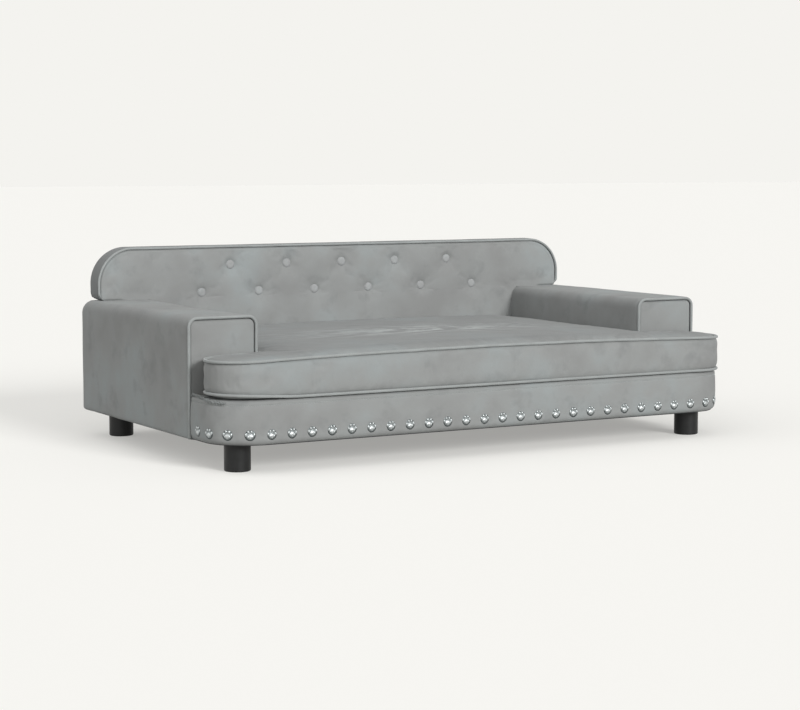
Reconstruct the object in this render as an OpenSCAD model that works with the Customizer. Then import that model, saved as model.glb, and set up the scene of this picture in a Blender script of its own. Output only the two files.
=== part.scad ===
// Upholstered sofa bed for a small dog: a raised T-shaped base with a studded front rail,
// two boxed arms, a buttoned backrest that overhangs the arms, and a loose T-shaped cushion.
// Millimetres. X runs across the sofa, Y from front to back and Z up. The origin lies on the
// floor, under the middle of the sofa.

/* [Overall] */
// Width over the arms
sofa_w = 894; // [800:2:1200]
// Depth from the cushion's front piping to the back of the arms
sofa_d = 530; // [510:5:600]
// Height of the backrest above the floor
sofa_h = 298; // [285:1:340]

/* [Cloth and padding] */
// Thickness of the velvet
velvet_t = 1.5; // [1:0.1:2]
// Thickness of the non-woven cloth under the cushion
deck_cloth_t = 1; // [0.6:0.1:1.2]
// Thickness of the non-woven dust cover under the base
dust_cloth_t = 0.6; // [0.4:0.1:1]
// Diameter of the velvet piping
piping_d = 5.5; // [4.5:0.5:6]

/* [Frame boards] */
// Thickness of the plywood boards
board_t = 12; // [9:1:14]
// Thickness of the side panels in the arms
panel_t = 9; // [6:1:11]
// Thickness of the pine rails under the deck
rail_t = 15; // [12:1:20]
// Height of the wooden blocks that hold the feet
block_h = 30; // [24:1:34]
// Depth of the rear blocks, inside the arms
block_d = 60; // [50:1:80]
// Width of the front blocks, in the wings of the base
block_w = 70; // [60:1:80]

/* [Base] */
// Height of the base's underside above the floor
base_lift = 41; // [34:1:50]
// Height of the padded front rail
rail_h = 63; // [58:1:68]
// Plan radius of the rail's front corners
rail_corner_r = 68; // [50:1:80]
// How far the rail stands back from the arms' outer sides
rail_side_setback = 3.5; // [2:0.5:8]
// How far the rail stands back from the cushion's front
rail_front_setback = 3.5; // [3:0.1:8]
// Thickness of the rail's padding
rail_pad_t = 6; // [4:0.5:9]
// Width of the velvet turned over the deck
rail_lap_w = 25; // [15:1:30]
// Width of the velvet turned under the frame
under_lap_w = 15; // [10:1:18]
// Height of the overlocked seam along the rail
seam_h = 3; // [2:0.5:4]
// Thickness of the overlocked seam
seam_t = 0.8; // [0.5:0.1:1]
// Depth of the seam below the rail's top
seam_drop = 4; // [2:0.5:8]

/* [Arms] */
// Width of each arm
arm_w = 110; // [100:1:130]
// Distance of the arms' front panels behind the cushion's front
arm_front_setback = 114; // [104:1:150]
// Height of the arms' tops as a share of the sofa's height
arm_h_share = 0.7215; // [0.69:0.0005:0.75]
// Radius of the arm's long top edges
arm_edge_r = 15; // [12:1:20]
// Radius of the arm's upright rear edges
arm_rear_r = 12; // [8:1:18]
// Radius of the arm's rear top edge, seen from the side
arm_tail_r = 22; // [16:1:30]
// Padding on the arm's sides
arm_side_pad_t = 8; // [6:1:12]
// Padding on the arm's top
arm_top_pad_t = 12; // [10:1:16]
// Padding behind the arm's front panel and on its back
arm_end_pad_t = 5; // [4:1:8]

/* [Backrest] */
// Half width that the backrest stands in from the arms' outer sides
back_inset = 13; // [6:1:40]
// Thickness of the backrest from its face to its rear
back_t = 45.4; // [40:0.1:60]
// Gap between the arms' tops and the overhang
overhang_gap = 0.5; // [0.5:0.1:3]
// Radius of the top corners
back_corner_r = 58; // [40:1:62]
// Radius of the overhang's lower corners
back_lower_r = 12; // [9:1:14]
// Radius of the overhang's rear edges
back_rear_r = 16; // [8:1:18]
// Depth of the wadding under the buttoned velvet
tuft_t = 6.4; // [6:0.1:10]
// How far the face swells between the buttons
back_swell = 1.5; // [0.5:0.1:2.5]
// How far the face falls back at its edges
edge_fall = 2.5; // [1:0.1:4]
// Width of the face that falls back
edge_fall_w = 30; // [20:1:40]

/* [Buttons] */
// Diameter of a covered button
button_d = 16; // [12:1:20]
// Thickness of a covered button
button_t = 5; // [4:0.1:5.5]
// Distance between buttons in a row
button_pitch = 102.3; // [80:0.1:130]
// Bare width left at each end of the lower row
button_margin = 70; // [50:1:90]
// Height of the lower row above the overhang's lower edge
button_low_up = 7.5; // [4:0.5:14]
// Distance of the upper row below the backrest's top
button_high_drop = 31; // [22:0.5:36]
// Depth of the dimple round a button
dimple_depth = 4.2; // [2:0.1:4.6]
// Width of the dimple's slope round a button
dimple_r = 16; // [12:1:30]
// Diameter of the nail behind a button
button_nail_d = 2; // [1.6:0.1:3]
// Depth that the nail enters the backrest's board
button_nail_bite = 8; // [5:1:10]

/* [Cushion] */
// How far the cushion's wings stand back from the arms' outer sides
cushion_side_setback = 5.5; // [1:0.5:8]
// Plan radius of the front corners
cushion_front_r = 58; // [50:1:62]
// Plan radius of the corners behind the wings
cushion_wing_r = 45; // [12:1:45]
// Plan radius of the inner corners beside the wings
cushion_inner_r = 5; // [4:0.5:6]
// Plan radius of the rear corners
cushion_rear_r = 16; // [14:1:40]
// Height from the lower to the upper piping, at the corners
boxing_h = 49.5; // [40:0.5:60]
// Extra height of the upper piping at the middle
seam_rise = 7; // [0:0.5:12]
// Height of the crown above the upper piping
crown_h = 7; // [3:0.5:12]
// How far the boxing swells out between the pipings
boxing_swell = 4; // [1:0.5:4.5]
// How far the rear boxing is drawn in, to make room for the zip
draw_in = 3.5; // [3:0.5:6]
// Thickness of the wadding round the foam core
core_wadding_t = 4; // [3:0.5:6]
// Clearance between the cushion and the arms
cushion_side_gap = 1.2; // [0.8:0.1:3]
// Clearance between the cushion and the backrest
cushion_back_gap = 1.2; // [0.8:0.1:3]

/* [Zip] */
// Length of the zip in the cushion's rear boxing
zip_l = 500; // [300:10:560]
// Width of the zip's tape between its stitches
zip_tape_w = 12; // [11:0.5:13]
// Thickness of the tape
zip_tape_t = 0.6; // [0.4:0.1:0.8]
// Width of the row of teeth
zip_teeth_w = 4; // [3:0.5:5]
// Height of the teeth above the tape
zip_teeth_t = 1.2; // [0.8:0.1:1.4]
// Length of the slider
slider_l = 10; // [8:0.5:12]
// Width of the slider
slider_w = 8; // [7:0.5:9]
// Thickness of the slider's wall over the teeth
slider_wall = 1.2; // [0.8:0.1:1.4]
// Length of the slider's pull
pull_l = 16; // [10:1:17]
// Width of the pull
pull_w = 5; // [4:0.5:6]
// Thickness of the pull
pull_t = 1; // [0.8:0.1:1.2]

/* [Feet] */
// Diameter of a foot
foot_d = 38; // [30:1:44]
// Radius of the foot's bottom edge
foot_edge_r = 2; // [1:0.5:4]
// Distance of the feet in from the arms' outer sides
foot_inset_x = 51.5; // [45:0.5:60]
// Distance of the front feet behind the rail's front
foot_front_inset = 55; // [45:1:65]
// Distance of the rear feet in front of the arms' backs
foot_rear_inset = 40; // [38:1:48]
// Diameter of the bolt in a foot
foot_bolt_d = 8; // [6:1:8]
// Depth of the bolt in the foot
foot_bolt_bite = 15; // [10:1:20]

/* [Studs] */
// Diameter of a paw-shaped stud
stud_d = 15.5; // [10:0.5:18]
// Thickness of the stud's base plate
stud_plate_t = 0.8; // [0.6:0.1:1]
// Height of the paw's pad above the plate
stud_pad_t = 1.6; // [1:0.1:1.7]
// Distance between studs along the rail
stud_pitch = 31.7; // [20:0.1:45]
// Height of the studs above the floor
stud_z = 56; // [50:1:70]
// Distance by which the row is set off to one side
stud_shift = -4; // [-9:0.1:9]
// Least distance from the last stud to the rail's end
stud_end_margin = 14; // [10:1:30]
// Diameter of the stud's nail
stud_nail_d = 1.6; // [1.2:0.1:2]
// Depth that the nail enters the rail's board
stud_nail_bite = 6; // [4:1:8]

/* [Fasteners] */
// Diameter of the bolts that hold the arms
arm_bolt_d = 6; // [5:1:8]
// Height of the arm bolts above the frame's underside
arm_bolt_up = 24; // [18:1:30]
// Distance of the front arm bolts behind the arm's front
arm_bolt_front = 91; // [60:1:130]
// Distance of the rear arm bolts in front of the rear blocks
arm_bolt_rear = 16.5; // [12:0.5:50]
// Length of bolt past the tee nut
bolt_tail = 4; // [2:1:8]
// Thickness of a bolt's head
bolt_head_t = 4; // [3:0.5:5]
// Wall of a tee nut's barrel
tee_wall = 1; // [0.8:0.1:1.4]
// Width of a tee nut's flange beyond its barrel
tee_flange_w = 5; // [4:0.5:6]
// Thickness of a tee nut's flange
tee_flange_t = 1.5; // [1:0.1:2]
// Diameter of a wood screw
screw_d = 4; // [3:0.5:5]
// Length of a wood screw
screw_l = 24; // [22:1:28]
// Diameter of a wood screw's countersunk head
screw_head_d = 8; // [7:0.5:9]
// Distance between the deck's screws and the corners that they hold
screw_margin = 60; // [40:1:80]

/* [Hidden] */
$fn = 64;

// Colours
velvet_col = "#979c9d";
piping_col = "#adb1b1";
foam_col = "#e8dfc4";
wood_col = "#cdaa7a";
ply_col = "#dcc39a";
cloth_col = "#34363a";
plastic_col = "#26272a";
steel_col = "#b4b8bc";
stud_col = "#d8dbde";

// Small clearances and overruns
cut = 1;
soft_gap = 0.3;
button_gap = 0.5;
button_step = 0.4;
nail_gap = 0.05;
bolt_gap = 0.3;
slider_gap = 0.25;

// Places across the sofa
x_side = sofa_w / 2;
arm_out_x = x_side;
arm_in_x = arm_out_x - arm_w;
rail_x = x_side - rail_side_setback;
back_x = arm_out_x - back_inset;

// Places from front to back
y_front = -sofa_d / 2;
y_back = sofa_d / 2;
rail_y = y_front + rail_front_setback;
arm_front_y = y_front + arm_front_setback;
rail_end_y = arm_front_y - piping_d - soft_gap;
back_face_y = y_back - back_t;
tuft_back_y = back_face_y + tuft_t;
back_board_y1 = y_back - velvet_t;
back_board_y0 = back_board_y1 - board_t;
back_rail_y = back_board_y0 - rail_t;
back_seam_y = y_back - back_rear_r;

// Places in height
frame_z = base_lift + velvet_t;
base_top_z = base_lift + rail_h;
deck_top_z = base_top_z - velvet_t;
deck_z = deck_top_z - board_t;
cloth_top_z = deck_top_z + deck_cloth_t;
arm_h = arm_h_share * sofa_h;
overhang_z = arm_h + overhang_gap;
button_low_z = overhang_z + button_low_up;
button_high_z = sofa_h - button_high_drop;

// Insets of the rail's layers from its velvet face
rail_board_in = velvet_t + rail_pad_t;
rail_hollow_in = rail_board_in + board_t;

// The wooden box inside an arm
arm_box_x0 = arm_in_x + velvet_t + arm_side_pad_t;
arm_box_x1 = arm_out_x - velvet_t - arm_side_pad_t;
arm_box_y0 = arm_front_y + velvet_t + arm_end_pad_t;
arm_box_y1 = y_back - velvet_t - arm_end_pad_t;
arm_box_z1 = arm_h - velvet_t - arm_top_pad_t;
arm_under_top_z = arm_box_z1 - panel_t;

// Piping
piping_r = piping_d / 2;
arm_piping_y = arm_front_y - piping_r;
back_piping_y = back_face_y;
back_band_y = back_piping_y + piping_r + soft_gap;
tuft_in = piping_d + soft_gap;

// Buttons: the lower row fills the width between the arms, the upper row has one fewer
button_span = 2 * (arm_in_x - button_margin);
low_count = floor(button_span / button_pitch) + 1;
high_count = low_count - 1;
function row_x(i, n) = (i - (n - 1) / 2) * button_pitch;
low_places = [for (i = [0:1:low_count - 1]) [row_x(i, low_count), button_low_z]];
high_places = [for (i = [0:1:high_count - 1]) [row_x(i, high_count), button_high_z]];
button_places = concat(low_places, high_places);
button_seat_y = back_face_y + dimple_depth - button_gap;

// Feet
foot_x = arm_out_x - foot_inset_x;
foot_front_y = rail_y + foot_front_inset;
foot_rear_y = y_back - foot_rear_inset;
block_top_z = frame_z + block_h;
rear_block_y1 = arm_box_y1 - board_t;
rear_block_y0 = rear_block_y1 - block_d;

// Bolts that hold the arms to the side rails
bolt_z = frame_z + arm_bolt_up;
bolt_ys = [arm_front_y + arm_bolt_front, rear_block_y0 - arm_bolt_rear];

// Deck screws, in the middle of the boards under the deck
deck_screw_front_y = rail_y + rail_board_in + board_t / 2;
deck_screw_back_y = back_rail_y + rail_t / 2;
deck_screw_side_x = arm_in_x - rail_t / 2;
deck_screw_places = [for (sx = [-1, 1]) each [
    [sx * (arm_in_x - screw_margin), deck_screw_front_y],
    [sx * screw_margin, deck_screw_front_y],
    [sx * (arm_in_x - screw_margin), deck_screw_back_y],
    [sx * screw_margin, deck_screw_back_y],
    [sx * deck_screw_side_x, arm_front_y + screw_margin],
    [sx * deck_screw_side_x, back_rail_y - screw_margin]
]];
back_screw_z = (frame_z + deck_z) / 2;
back_screw_xs = [for (sx = [-1, 1]) each [sx * (arm_in_x - screw_margin), sx * screw_margin]];

// The cushion's outline and heights
cushion_wing_y = arm_front_y - piping_d - cushion_side_gap;
cushion_x = x_side - cushion_side_setback;
wing_depth = cushion_wing_y - y_front;
wing_r = min(cushion_wing_r, wing_depth - cushion_front_r - cut);
cushion_stem_x = arm_in_x - cushion_side_gap;
cushion_back_y = back_face_y - back_swell - cushion_back_gap;
cushion_z = base_top_z + soft_gap;
low_seam_z = cushion_z + piping_r;
high_seam_z = low_seam_z + boxing_h;
seam_in = piping_d + soft_gap;
rear_boxing_in = seam_in + draw_in;
core_in = rear_boxing_in + core_wadding_t;
core_z0 = low_seam_z + core_wadding_t / 2;
core_z1 = high_seam_z - core_wadding_t / 2;

// The zip lies on the flat middle of the rear boxing
zip_z = low_seam_z + boxing_h / 2;
zip_y = cushion_back_y - rear_boxing_in;
slider_x = (zip_l - slider_l) / 2 - slider_l;

function square_of(v) = v * v;
function mix(a, b, share) = a + (b - a) * share;

// Two-dimensional helpers

module corner_cut(x, y, r, sx, sy) {
    // What a rounded corner takes away; sx and sy point into the shape
    if (r > 0) difference() {
        translate([min(x - sx * cut, x + sx * r), min(y - sy * cut, y + sy * r)]) square(r + cut);
        translate([x + sx * r, y + sy * r]) circle(r);
    }
}

module round_box_2d(x0, x1, y0, y1, r_low, r_high_right, r_high_left) {
    // A rectangle with one radius for its two low corners and one for each high corner
    difference() {
        translate([x0, y0]) square([x1 - x0, y1 - y0]);
        corner_cut(x0, y0, r_low, 1, 1);
        corner_cut(x1, y0, r_low, -1, 1);
        corner_cut(x1, y1, r_high_right, -1, -1);
        corner_cut(x0, y1, r_high_left, 1, -1);
    }
}

module rail_plan(inset, end_y) {
    half = rail_x - inset;
    round_box_2d(-half, half, rail_y + inset, end_y, rail_corner_r - inset, 0, 0);
}

module stem_plan(y0, y1) {
    translate([-arm_in_x, y0]) square([2 * arm_in_x, y1 - y0]);
}

module base_plan(inset, wing_end_y, y1) {
    rail_plan(inset, wing_end_y);
    stem_plan(wing_end_y - cut, y1);
}

module overhang_outline(inset) {
    half = back_x - inset;
    round_box_2d(-half, half, overhang_z + inset, sofa_h - inset,
        back_lower_r - inset, back_corner_r - inset, back_corner_r - inset);
}

module back_outline(inset, side_gap, z0) {
    half = arm_in_x - side_gap;
    overhang_outline(inset);
    translate([-half, z0]) square([2 * half, overhang_z + back_lower_r + inset - z0]);
}

// Three-dimensional helpers

module box(x0, x1, y0, y1, z0, z1) {
    translate([x0, y0, z0]) cube([x1 - x0, y1 - y0, z1 - z0]);
}

module slab(z0, z1) {
    translate([0, 0, z0]) linear_extrude(height = z1 - z0) children();
}

module upright(y0, y1) {
    // Extrudes an outline in X and Z from y0 to y1
    translate([0, y1, 0]) rotate([90, 0, 0]) linear_extrude(height = y1 - y0) children();
}

module sideways(x0, x1) {
    // Extrudes an outline in Y and Z from x0 to x1
    translate([x0, 0, 0]) rotate([90, 0, 90]) linear_extrude(height = x1 - x0) children();
}

module on_side(side) {
    if (side > 0) children();
    else mirror([1, 0, 0]) children();
}

module both_sides() {
    children();
    mirror([1, 0, 0]) children();
}

module rod_x(x0, x1, y, z, r) {
    translate([x0, y, z]) rotate([0, 90, 0]) cylinder(h = x1 - x0, r = r);
}

module rod_y(x, y0, y1, z, r) {
    translate([x, y1, z]) rotate([90, 0, 0]) cylinder(h = y1 - y0, r = r);
}

module rod_z(x, y, z0, z1, r) {
    translate([x, y, z0]) cylinder(h = z1 - z0, r = r);
}

module elbow(x, y, z, bend_r, start) {
    // A quarter bend of piping in the X and Z plane, from the angle start
    translate([x, y, z]) rotate([90, 0, 0]) rotate([0, 0, start])
        rotate_extrude(angle = 90) translate([bend_r, 0]) circle(piping_r);
}

// Base

module front_rail_board() {
    color(ply_col) difference() {
        slab(frame_z, deck_z) rail_plan(rail_board_in, arm_front_y);
        slab(frame_z - cut, deck_z + cut) rail_plan(rail_hollow_in, arm_front_y + cut);
        stud_nail_holes();
        deck_screw_set();
    }
}

module cross_rail() {
    half = rail_x - rail_hollow_in;
    color(wood_col) box(-half, half, arm_front_y - board_t, arm_front_y, frame_z, deck_z);
}

module side_rail(side) {
    color(wood_col) on_side(side) difference() {
        box(arm_in_x - rail_t, arm_in_x, arm_front_y, back_rail_y, frame_z, deck_z);
        for (y = bolt_ys)
            rod_x(arm_in_x - rail_t - cut, arm_in_x + cut, y, bolt_z, arm_bolt_d / 2 + bolt_gap);
        deck_screw_set();
    }
}

module back_rail() {
    color(wood_col) difference() {
        box(-arm_in_x, arm_in_x, back_rail_y, back_board_y0, frame_z, deck_z);
        deck_screw_set();
        back_screw_set();
    }
}

module centre_rail() {
    color(wood_col) box(-rail_t / 2, rail_t / 2, arm_front_y, back_rail_y, frame_z, deck_z);
}

module foot_blocks() {
    color(wood_col) difference() {
        union() {
            intersection() {
                slab(frame_z, block_top_z) rail_plan(rail_hollow_in, arm_front_y - board_t);
                both_sides() box(rail_x - rail_hollow_in - block_w, rail_x, rail_y,
                    arm_front_y, frame_z - cut, block_top_z + cut);
            }
            both_sides() box(arm_box_x0 + panel_t, arm_box_x1 - panel_t,
                rear_block_y0, rear_block_y1, frame_z, block_top_z);
        }
        at_feet() {
            rod_z(0, 0, frame_z - cut, block_top_z + cut, foot_bolt_d / 2 + bolt_gap);
            rod_z(0, 0, block_top_z - board_t, block_top_z + cut, foot_bolt_d / 2 + tee_wall);
        }
    }
}

module seat_deck() {
    color(ply_col) difference() {
        slab(deck_z, deck_top_z) base_plan(rail_board_in, arm_front_y, back_board_y0);
        deck_screw_set();
    }
}

module deck_cloth() {
    color(cloth_col) slab(deck_top_z, cloth_top_z)
        base_plan(velvet_t + rail_lap_w, arm_front_y, back_board_y0);
}

module rail_padding() {
    color(foam_col) difference() {
        slab(frame_z, deck_top_z) rail_plan(velvet_t, rail_end_y);
        slab(frame_z - cut, deck_top_z + cut) rail_plan(rail_board_in, rail_end_y + cut);
        stud_nail_holes();
    }
}

module rail_cover() {
    color(velvet_col) difference() {
        slab(base_lift, base_top_z) rail_plan(0, rail_end_y);
        slab(frame_z, deck_top_z) rail_plan(velvet_t, rail_end_y + cut);
        slab(base_lift - cut, frame_z + cut) rail_plan(velvet_t + under_lap_w, rail_end_y + cut);
        slab(deck_top_z - cut, base_top_z + cut) rail_plan(velvet_t + rail_lap_w, rail_end_y + cut);
        stud_nail_holes();
    }
}

module rail_seam() {
    seam_z = base_top_z - seam_drop;
    color(piping_col) difference() {
        slab(seam_z - seam_h, seam_z) rail_plan(-seam_t, rail_end_y);
        slab(seam_z - seam_h - cut, seam_z + cut) rail_plan(0, rail_end_y + cut);
    }
}

module dust_cover() {
    color(cloth_col) difference() {
        slab(base_lift - dust_cloth_t, base_lift) {
            rail_plan(under_lap_w / 2, arm_front_y);
            translate([-arm_out_x + under_lap_w / 2, arm_front_y - cut])
                square([2 * arm_out_x - under_lap_w, y_back - arm_front_y + cut - under_lap_w / 2]);
        }
        at_feet() rod_z(0, 0, base_lift - dust_cloth_t - cut, base_lift + cut, foot_d / 2 + soft_gap);
    }
}

// Arms, modelled on the right and mirrored for the left

module arm_block(inset, front_y, z0) {
    x0 = arm_in_x + inset;
    x1 = arm_out_x - inset;
    y1 = y_back - inset;
    z1 = arm_h - inset;
    edge_r = arm_edge_r - inset;
    rear_r = arm_rear_r - inset;
    intersection() {
        upright(front_y, y1) round_box_2d(x0, x1, z0, z1, 0, edge_r, edge_r);
        slab(z0, z1) round_box_2d(x0, x1, front_y, y1, 0, rear_r, rear_r);
        sideways(x0, x1) round_box_2d(front_y, y1, z0, z1, 0, arm_tail_r - inset, 0);
    }
}

module arm_front_board(side) {
    color(ply_col) on_side(side)
        box(arm_box_x0, arm_box_x1, arm_box_y0, arm_box_y0 + board_t, frame_z, arm_under_top_z);
}

module arm_rear_board(side) {
    color(ply_col) on_side(side)
        box(arm_box_x0, arm_box_x1, arm_box_y1 - board_t, arm_box_y1, frame_z, arm_under_top_z);
}

module arm_outer_panel(side) {
    color(ply_col) on_side(side) box(arm_box_x1 - panel_t, arm_box_x1,
        arm_box_y0 + board_t, arm_box_y1 - board_t, frame_z, arm_under_top_z);
}

module arm_inner_panel(side) {
    color(ply_col) on_side(side) difference() {
        box(arm_box_x0, arm_box_x0 + panel_t,
            arm_box_y0 + board_t, arm_box_y1 - board_t, frame_z, arm_under_top_z);
        for (y = bolt_ys)
            rod_x(arm_box_x0 - cut, arm_box_x0 + panel_t + cut, y, bolt_z, arm_bolt_d / 2 + tee_wall);
    }
}

module arm_top_board(side) {
    color(ply_col) on_side(side)
        box(arm_box_x0, arm_box_x1, arm_box_y0, arm_box_y1, arm_under_top_z, arm_box_z1);
}

module arm_padding(side) {
    color(foam_col) on_side(side) difference() {
        arm_block(velvet_t, arm_front_y + velvet_t, frame_z);
        box(arm_box_x0, arm_box_x1, arm_box_y0, arm_box_y1, frame_z - cut, arm_box_z1);
        for (y = bolt_ys) rod_x(arm_in_x, arm_box_x0 + cut, y, bolt_z, arm_bolt_d / 2 + bolt_gap);
    }
}

module arm_under_opening() {
    // The underside left open between the turned-in edges of the velvet
    lap = velvet_t + under_lap_w;
    box(arm_in_x + lap, arm_out_x - lap, arm_front_y + lap, y_back - lap, base_lift - cut, frame_z + cut);
}

module arm_cover(side) {
    color(velvet_col) on_side(side) difference() {
        arm_block(0, arm_front_y + velvet_t, base_lift);
        arm_block(velvet_t, arm_front_y - cut, frame_z);
        arm_under_opening();
        for (y = bolt_ys) rod_x(arm_in_x - cut, arm_box_x0, y, bolt_z, arm_bolt_d / 2 + bolt_gap);
    }
}

module arm_front_panel(side) {
    color(velvet_col) on_side(side) upright(arm_front_y, arm_front_y + velvet_t)
        round_box_2d(arm_in_x, arm_out_x, base_lift, arm_h, 0, arm_edge_r, arm_edge_r);
}

module arm_piping(side) {
    bend_r = arm_edge_r - piping_r;
    x0 = arm_in_x + arm_edge_r;
    x1 = arm_out_x - arm_edge_r;
    bend_z = arm_h - arm_edge_r;
    color(piping_col) on_side(side) union() {
        rod_z(arm_out_x - piping_r, arm_piping_y, base_lift, bend_z, piping_r);
        elbow(x1, arm_piping_y, bend_z, bend_r, 0);
        rod_x(x0, x1, arm_piping_y, arm_h - piping_r, piping_r);
        elbow(x0, arm_piping_y, bend_z, bend_r, 90);
        rod_z(arm_in_x + piping_r, arm_piping_y, base_top_z, bend_z, piping_r);
    }
}

// Backrest

module overhang_block(inset, front_y) {
    half = back_x - inset;
    y1 = y_back - inset;
    z0 = overhang_z + inset;
    z1 = sofa_h - inset;
    rear_r = back_rear_r - inset;
    intersection() {
        upright(front_y, y1) overhang_outline(inset);
        slab(z0, z1) round_box_2d(-half, half, front_y, y1, 0, rear_r, rear_r);
        sideways(-half, half) round_box_2d(front_y, y1, z0, z1, 0, rear_r, 0);
    }
}

module back_board_space(y1) {
    upright(back_board_y0, y1) back_outline(back_rear_r, 0, frame_z);
}

module back_board() {
    color(ply_col) difference() {
        back_board_space(back_board_y1);
        button_nail_holes();
        back_screw_set();
    }
}

module back_foam() {
    color(foam_col) difference() {
        union() {
            overhang_block(velvet_t, tuft_back_y);
            box(-arm_in_x, arm_in_x, tuft_back_y, back_board_y0, cloth_top_z, overhang_z + back_lower_r);
        }
        back_board_space(back_board_y1 + cut);
        button_nail_holes();
    }
}

module back_side_band() {
    color(velvet_col) difference() {
        upright(back_band_y, back_seam_y) overhang_outline(0);
        upright(back_band_y - cut, back_seam_y + cut) overhang_outline(velvet_t);
        box(-arm_in_x, arm_in_x, back_band_y - cut, y_back, arm_h, overhang_z + back_lower_r);
    }
}

module back_rear_cover() {
    stem_z1 = overhang_z + back_lower_r;
    color(velvet_col) union() {
        difference() {
            overhang_block(0, back_seam_y);
            overhang_block(velvet_t, back_seam_y - cut);
            box(-arm_in_x, arm_in_x, back_seam_y - cut, back_board_y1, arm_h, stem_z1);
        }
        box(-arm_in_x, arm_in_x, back_board_y1, y_back, base_lift, stem_z1);
    }
}

module back_piping() {
    top_bend = back_corner_r - piping_r;
    low_bend = back_lower_r - piping_r;
    top_x = back_x - back_corner_r;
    top_z = sofa_h - back_corner_r;
    low_x = back_x - back_lower_r;
    low_z = overhang_z + back_lower_r;
    color(piping_col) union() {
        rod_x(-top_x, top_x, back_piping_y, sofa_h - piping_r, piping_r);
        both_sides() {
            elbow(top_x, back_piping_y, top_z, top_bend, 0);
            rod_z(back_x - piping_r, back_piping_y, low_z, top_z, piping_r);
            elbow(low_x, back_piping_y, low_z, low_bend, -90);
            rod_x(arm_in_x, low_x, back_piping_y, overhang_z + piping_r, piping_r);
        }
    }
}

// The buttoned face is a grid of points, set closer at the buttons: shares of the distance from
// one column of buttons to the next, and of the heights under, between and over the two rows
half_pitch = button_pitch / 2;
face_half = back_x + cut;
column_count = floor(face_half / half_pitch);
column_shares = [0, 0.17, 0.5, 0.83];
face_xs = concat(
    [-face_half],
    [for (i = [-column_count:1:column_count - 1]) for (s = column_shares) (i + s) * half_pitch],
    [column_count * half_pitch, face_half]
);
under_shares = [0, 0.35, 0.64, 0.8, 0.92];
between_shares = [0, 0.18, 0.36, 0.5, 0.64, 0.82];
over_shares = [0, 0.3, 0.62, 1];
face_z0 = cloth_top_z - cut;
face_z1 = sofa_h + cut;
face_zs = concat(
    [for (s = under_shares) mix(face_z0, button_low_z, s)],
    [for (s = between_shares) mix(button_low_z, button_high_z, s)],
    [for (s = over_shares) mix(button_high_z, face_z1, s)]
);

function share_within(v, from, width) = min(1, max(0, (v - from) / width));
function edge_share(x, z) = min(1, square_of(share_within(abs(x), back_x - edge_fall_w, edge_fall_w))
    + square_of(share_within(z, sofa_h - edge_fall_w, edge_fall_w)));
function button_pull(x, z) = max([for (p = button_places)
    exp(-square_of(max(0, norm([x - p[0], z - p[1]]) - button_d / 2) / dimple_r))]);
function face_y(x, z) = back_face_y - back_swell + (back_swell + edge_fall) * edge_share(x, z)
    + (back_swell + dimple_depth) * button_pull(x, z) * (1 - edge_share(x, z));

module tufted_block() {
    columns = len(face_xs);
    rows = len(face_zs);
    front = [for (z = face_zs) for (x = face_xs) [x, face_y(x, z), z]];
    rear = [for (z = [face_z0, face_z1]) for (x = [-face_half, face_half]) [x, tuft_back_y, z]];
    low_left = len(front);
    low_right = low_left + 1;
    high_left = low_left + 2;
    high_right = low_left + 3;
    last = (rows - 1) * columns;
    polyhedron(points = concat(front, rear), faces = concat(
        [for (j = [0:1:rows - 2]) for (i = [0:1:columns - 2]) each [
            [j * columns + i, (j + 1) * columns + i, j * columns + i + 1],
            [j * columns + i + 1, (j + 1) * columns + i, (j + 1) * columns + i + 1]
        ]],
        [for (i = [0:1:columns - 2]) [i, i + 1, low_left]],
        [[columns - 1, low_right, low_left]],
        [for (i = [0:1:columns - 2]) [last + i + 1, last + i, high_left]],
        [[high_right, last + columns - 1, high_left]],
        [for (j = [0:1:rows - 2]) [(j + 1) * columns, j * columns, low_left]],
        [[high_left, last, low_left]],
        [for (j = [0:1:rows - 2]) [j * columns + columns - 1, (j + 1) * columns + columns - 1, low_right]],
        [[last + columns - 1, high_right, low_right]],
        [[low_left, low_right, high_left], [high_left, low_right, high_right]]
    ));
}

module back_tufted_cover() {
    color(velvet_col) difference() {
        intersection() {
            tufted_block();
            upright(back_face_y - back_swell - cut, tuft_back_y)
                back_outline(tuft_in, soft_gap, cloth_top_z + soft_gap);
        }
        button_nail_holes();
    }
}

// Buttons

module at_buttons() {
    for (p = button_places) translate([p[0], 0, p[1]]) children();
}

module button_nail_holes() {
    at_buttons() rod_y(0, back_face_y, back_board_y0 + button_nail_bite, 0, button_nail_d / 2 + nail_gap);
}

module buttons() {
    rim_t = button_t / 3;
    dome_t = button_t - rim_t;
    rim_r = button_d / 2;
    dome_base_r = rim_r - button_step;
    dome_r = (square_of(dome_base_r) + square_of(dome_t)) / (2 * dome_t);
    front_y = button_seat_y - button_t;
    color(velvet_col) at_buttons() union() {
        rod_y(0, button_seat_y - rim_t, button_seat_y, 0, rim_r);
        intersection() {
            translate([0, front_y + dome_r, 0]) sphere(dome_r);
            rod_y(0, front_y - cut, button_seat_y - rim_t / 2, 0, (rim_r + dome_base_r) / 2);
        }
    }
}

module button_nails() {
    color(steel_col) at_buttons()
        rod_y(0, button_seat_y, back_board_y0 + button_nail_bite, 0, button_nail_d / 2);
}

// Studs, along the rail's front, round its corners and back to its ends

straight_l = rail_x - rail_corner_r;
corner_l = PI * rail_corner_r / 2;
side_l = rail_end_y - rail_y - rail_corner_r;
path_half = straight_l + corner_l + side_l;
stud_count = floor(2 * (path_half - stud_end_margin) / stud_pitch) + 1;
function corner_angle(s) = 90 * (s - straight_l) / corner_l;

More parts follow.
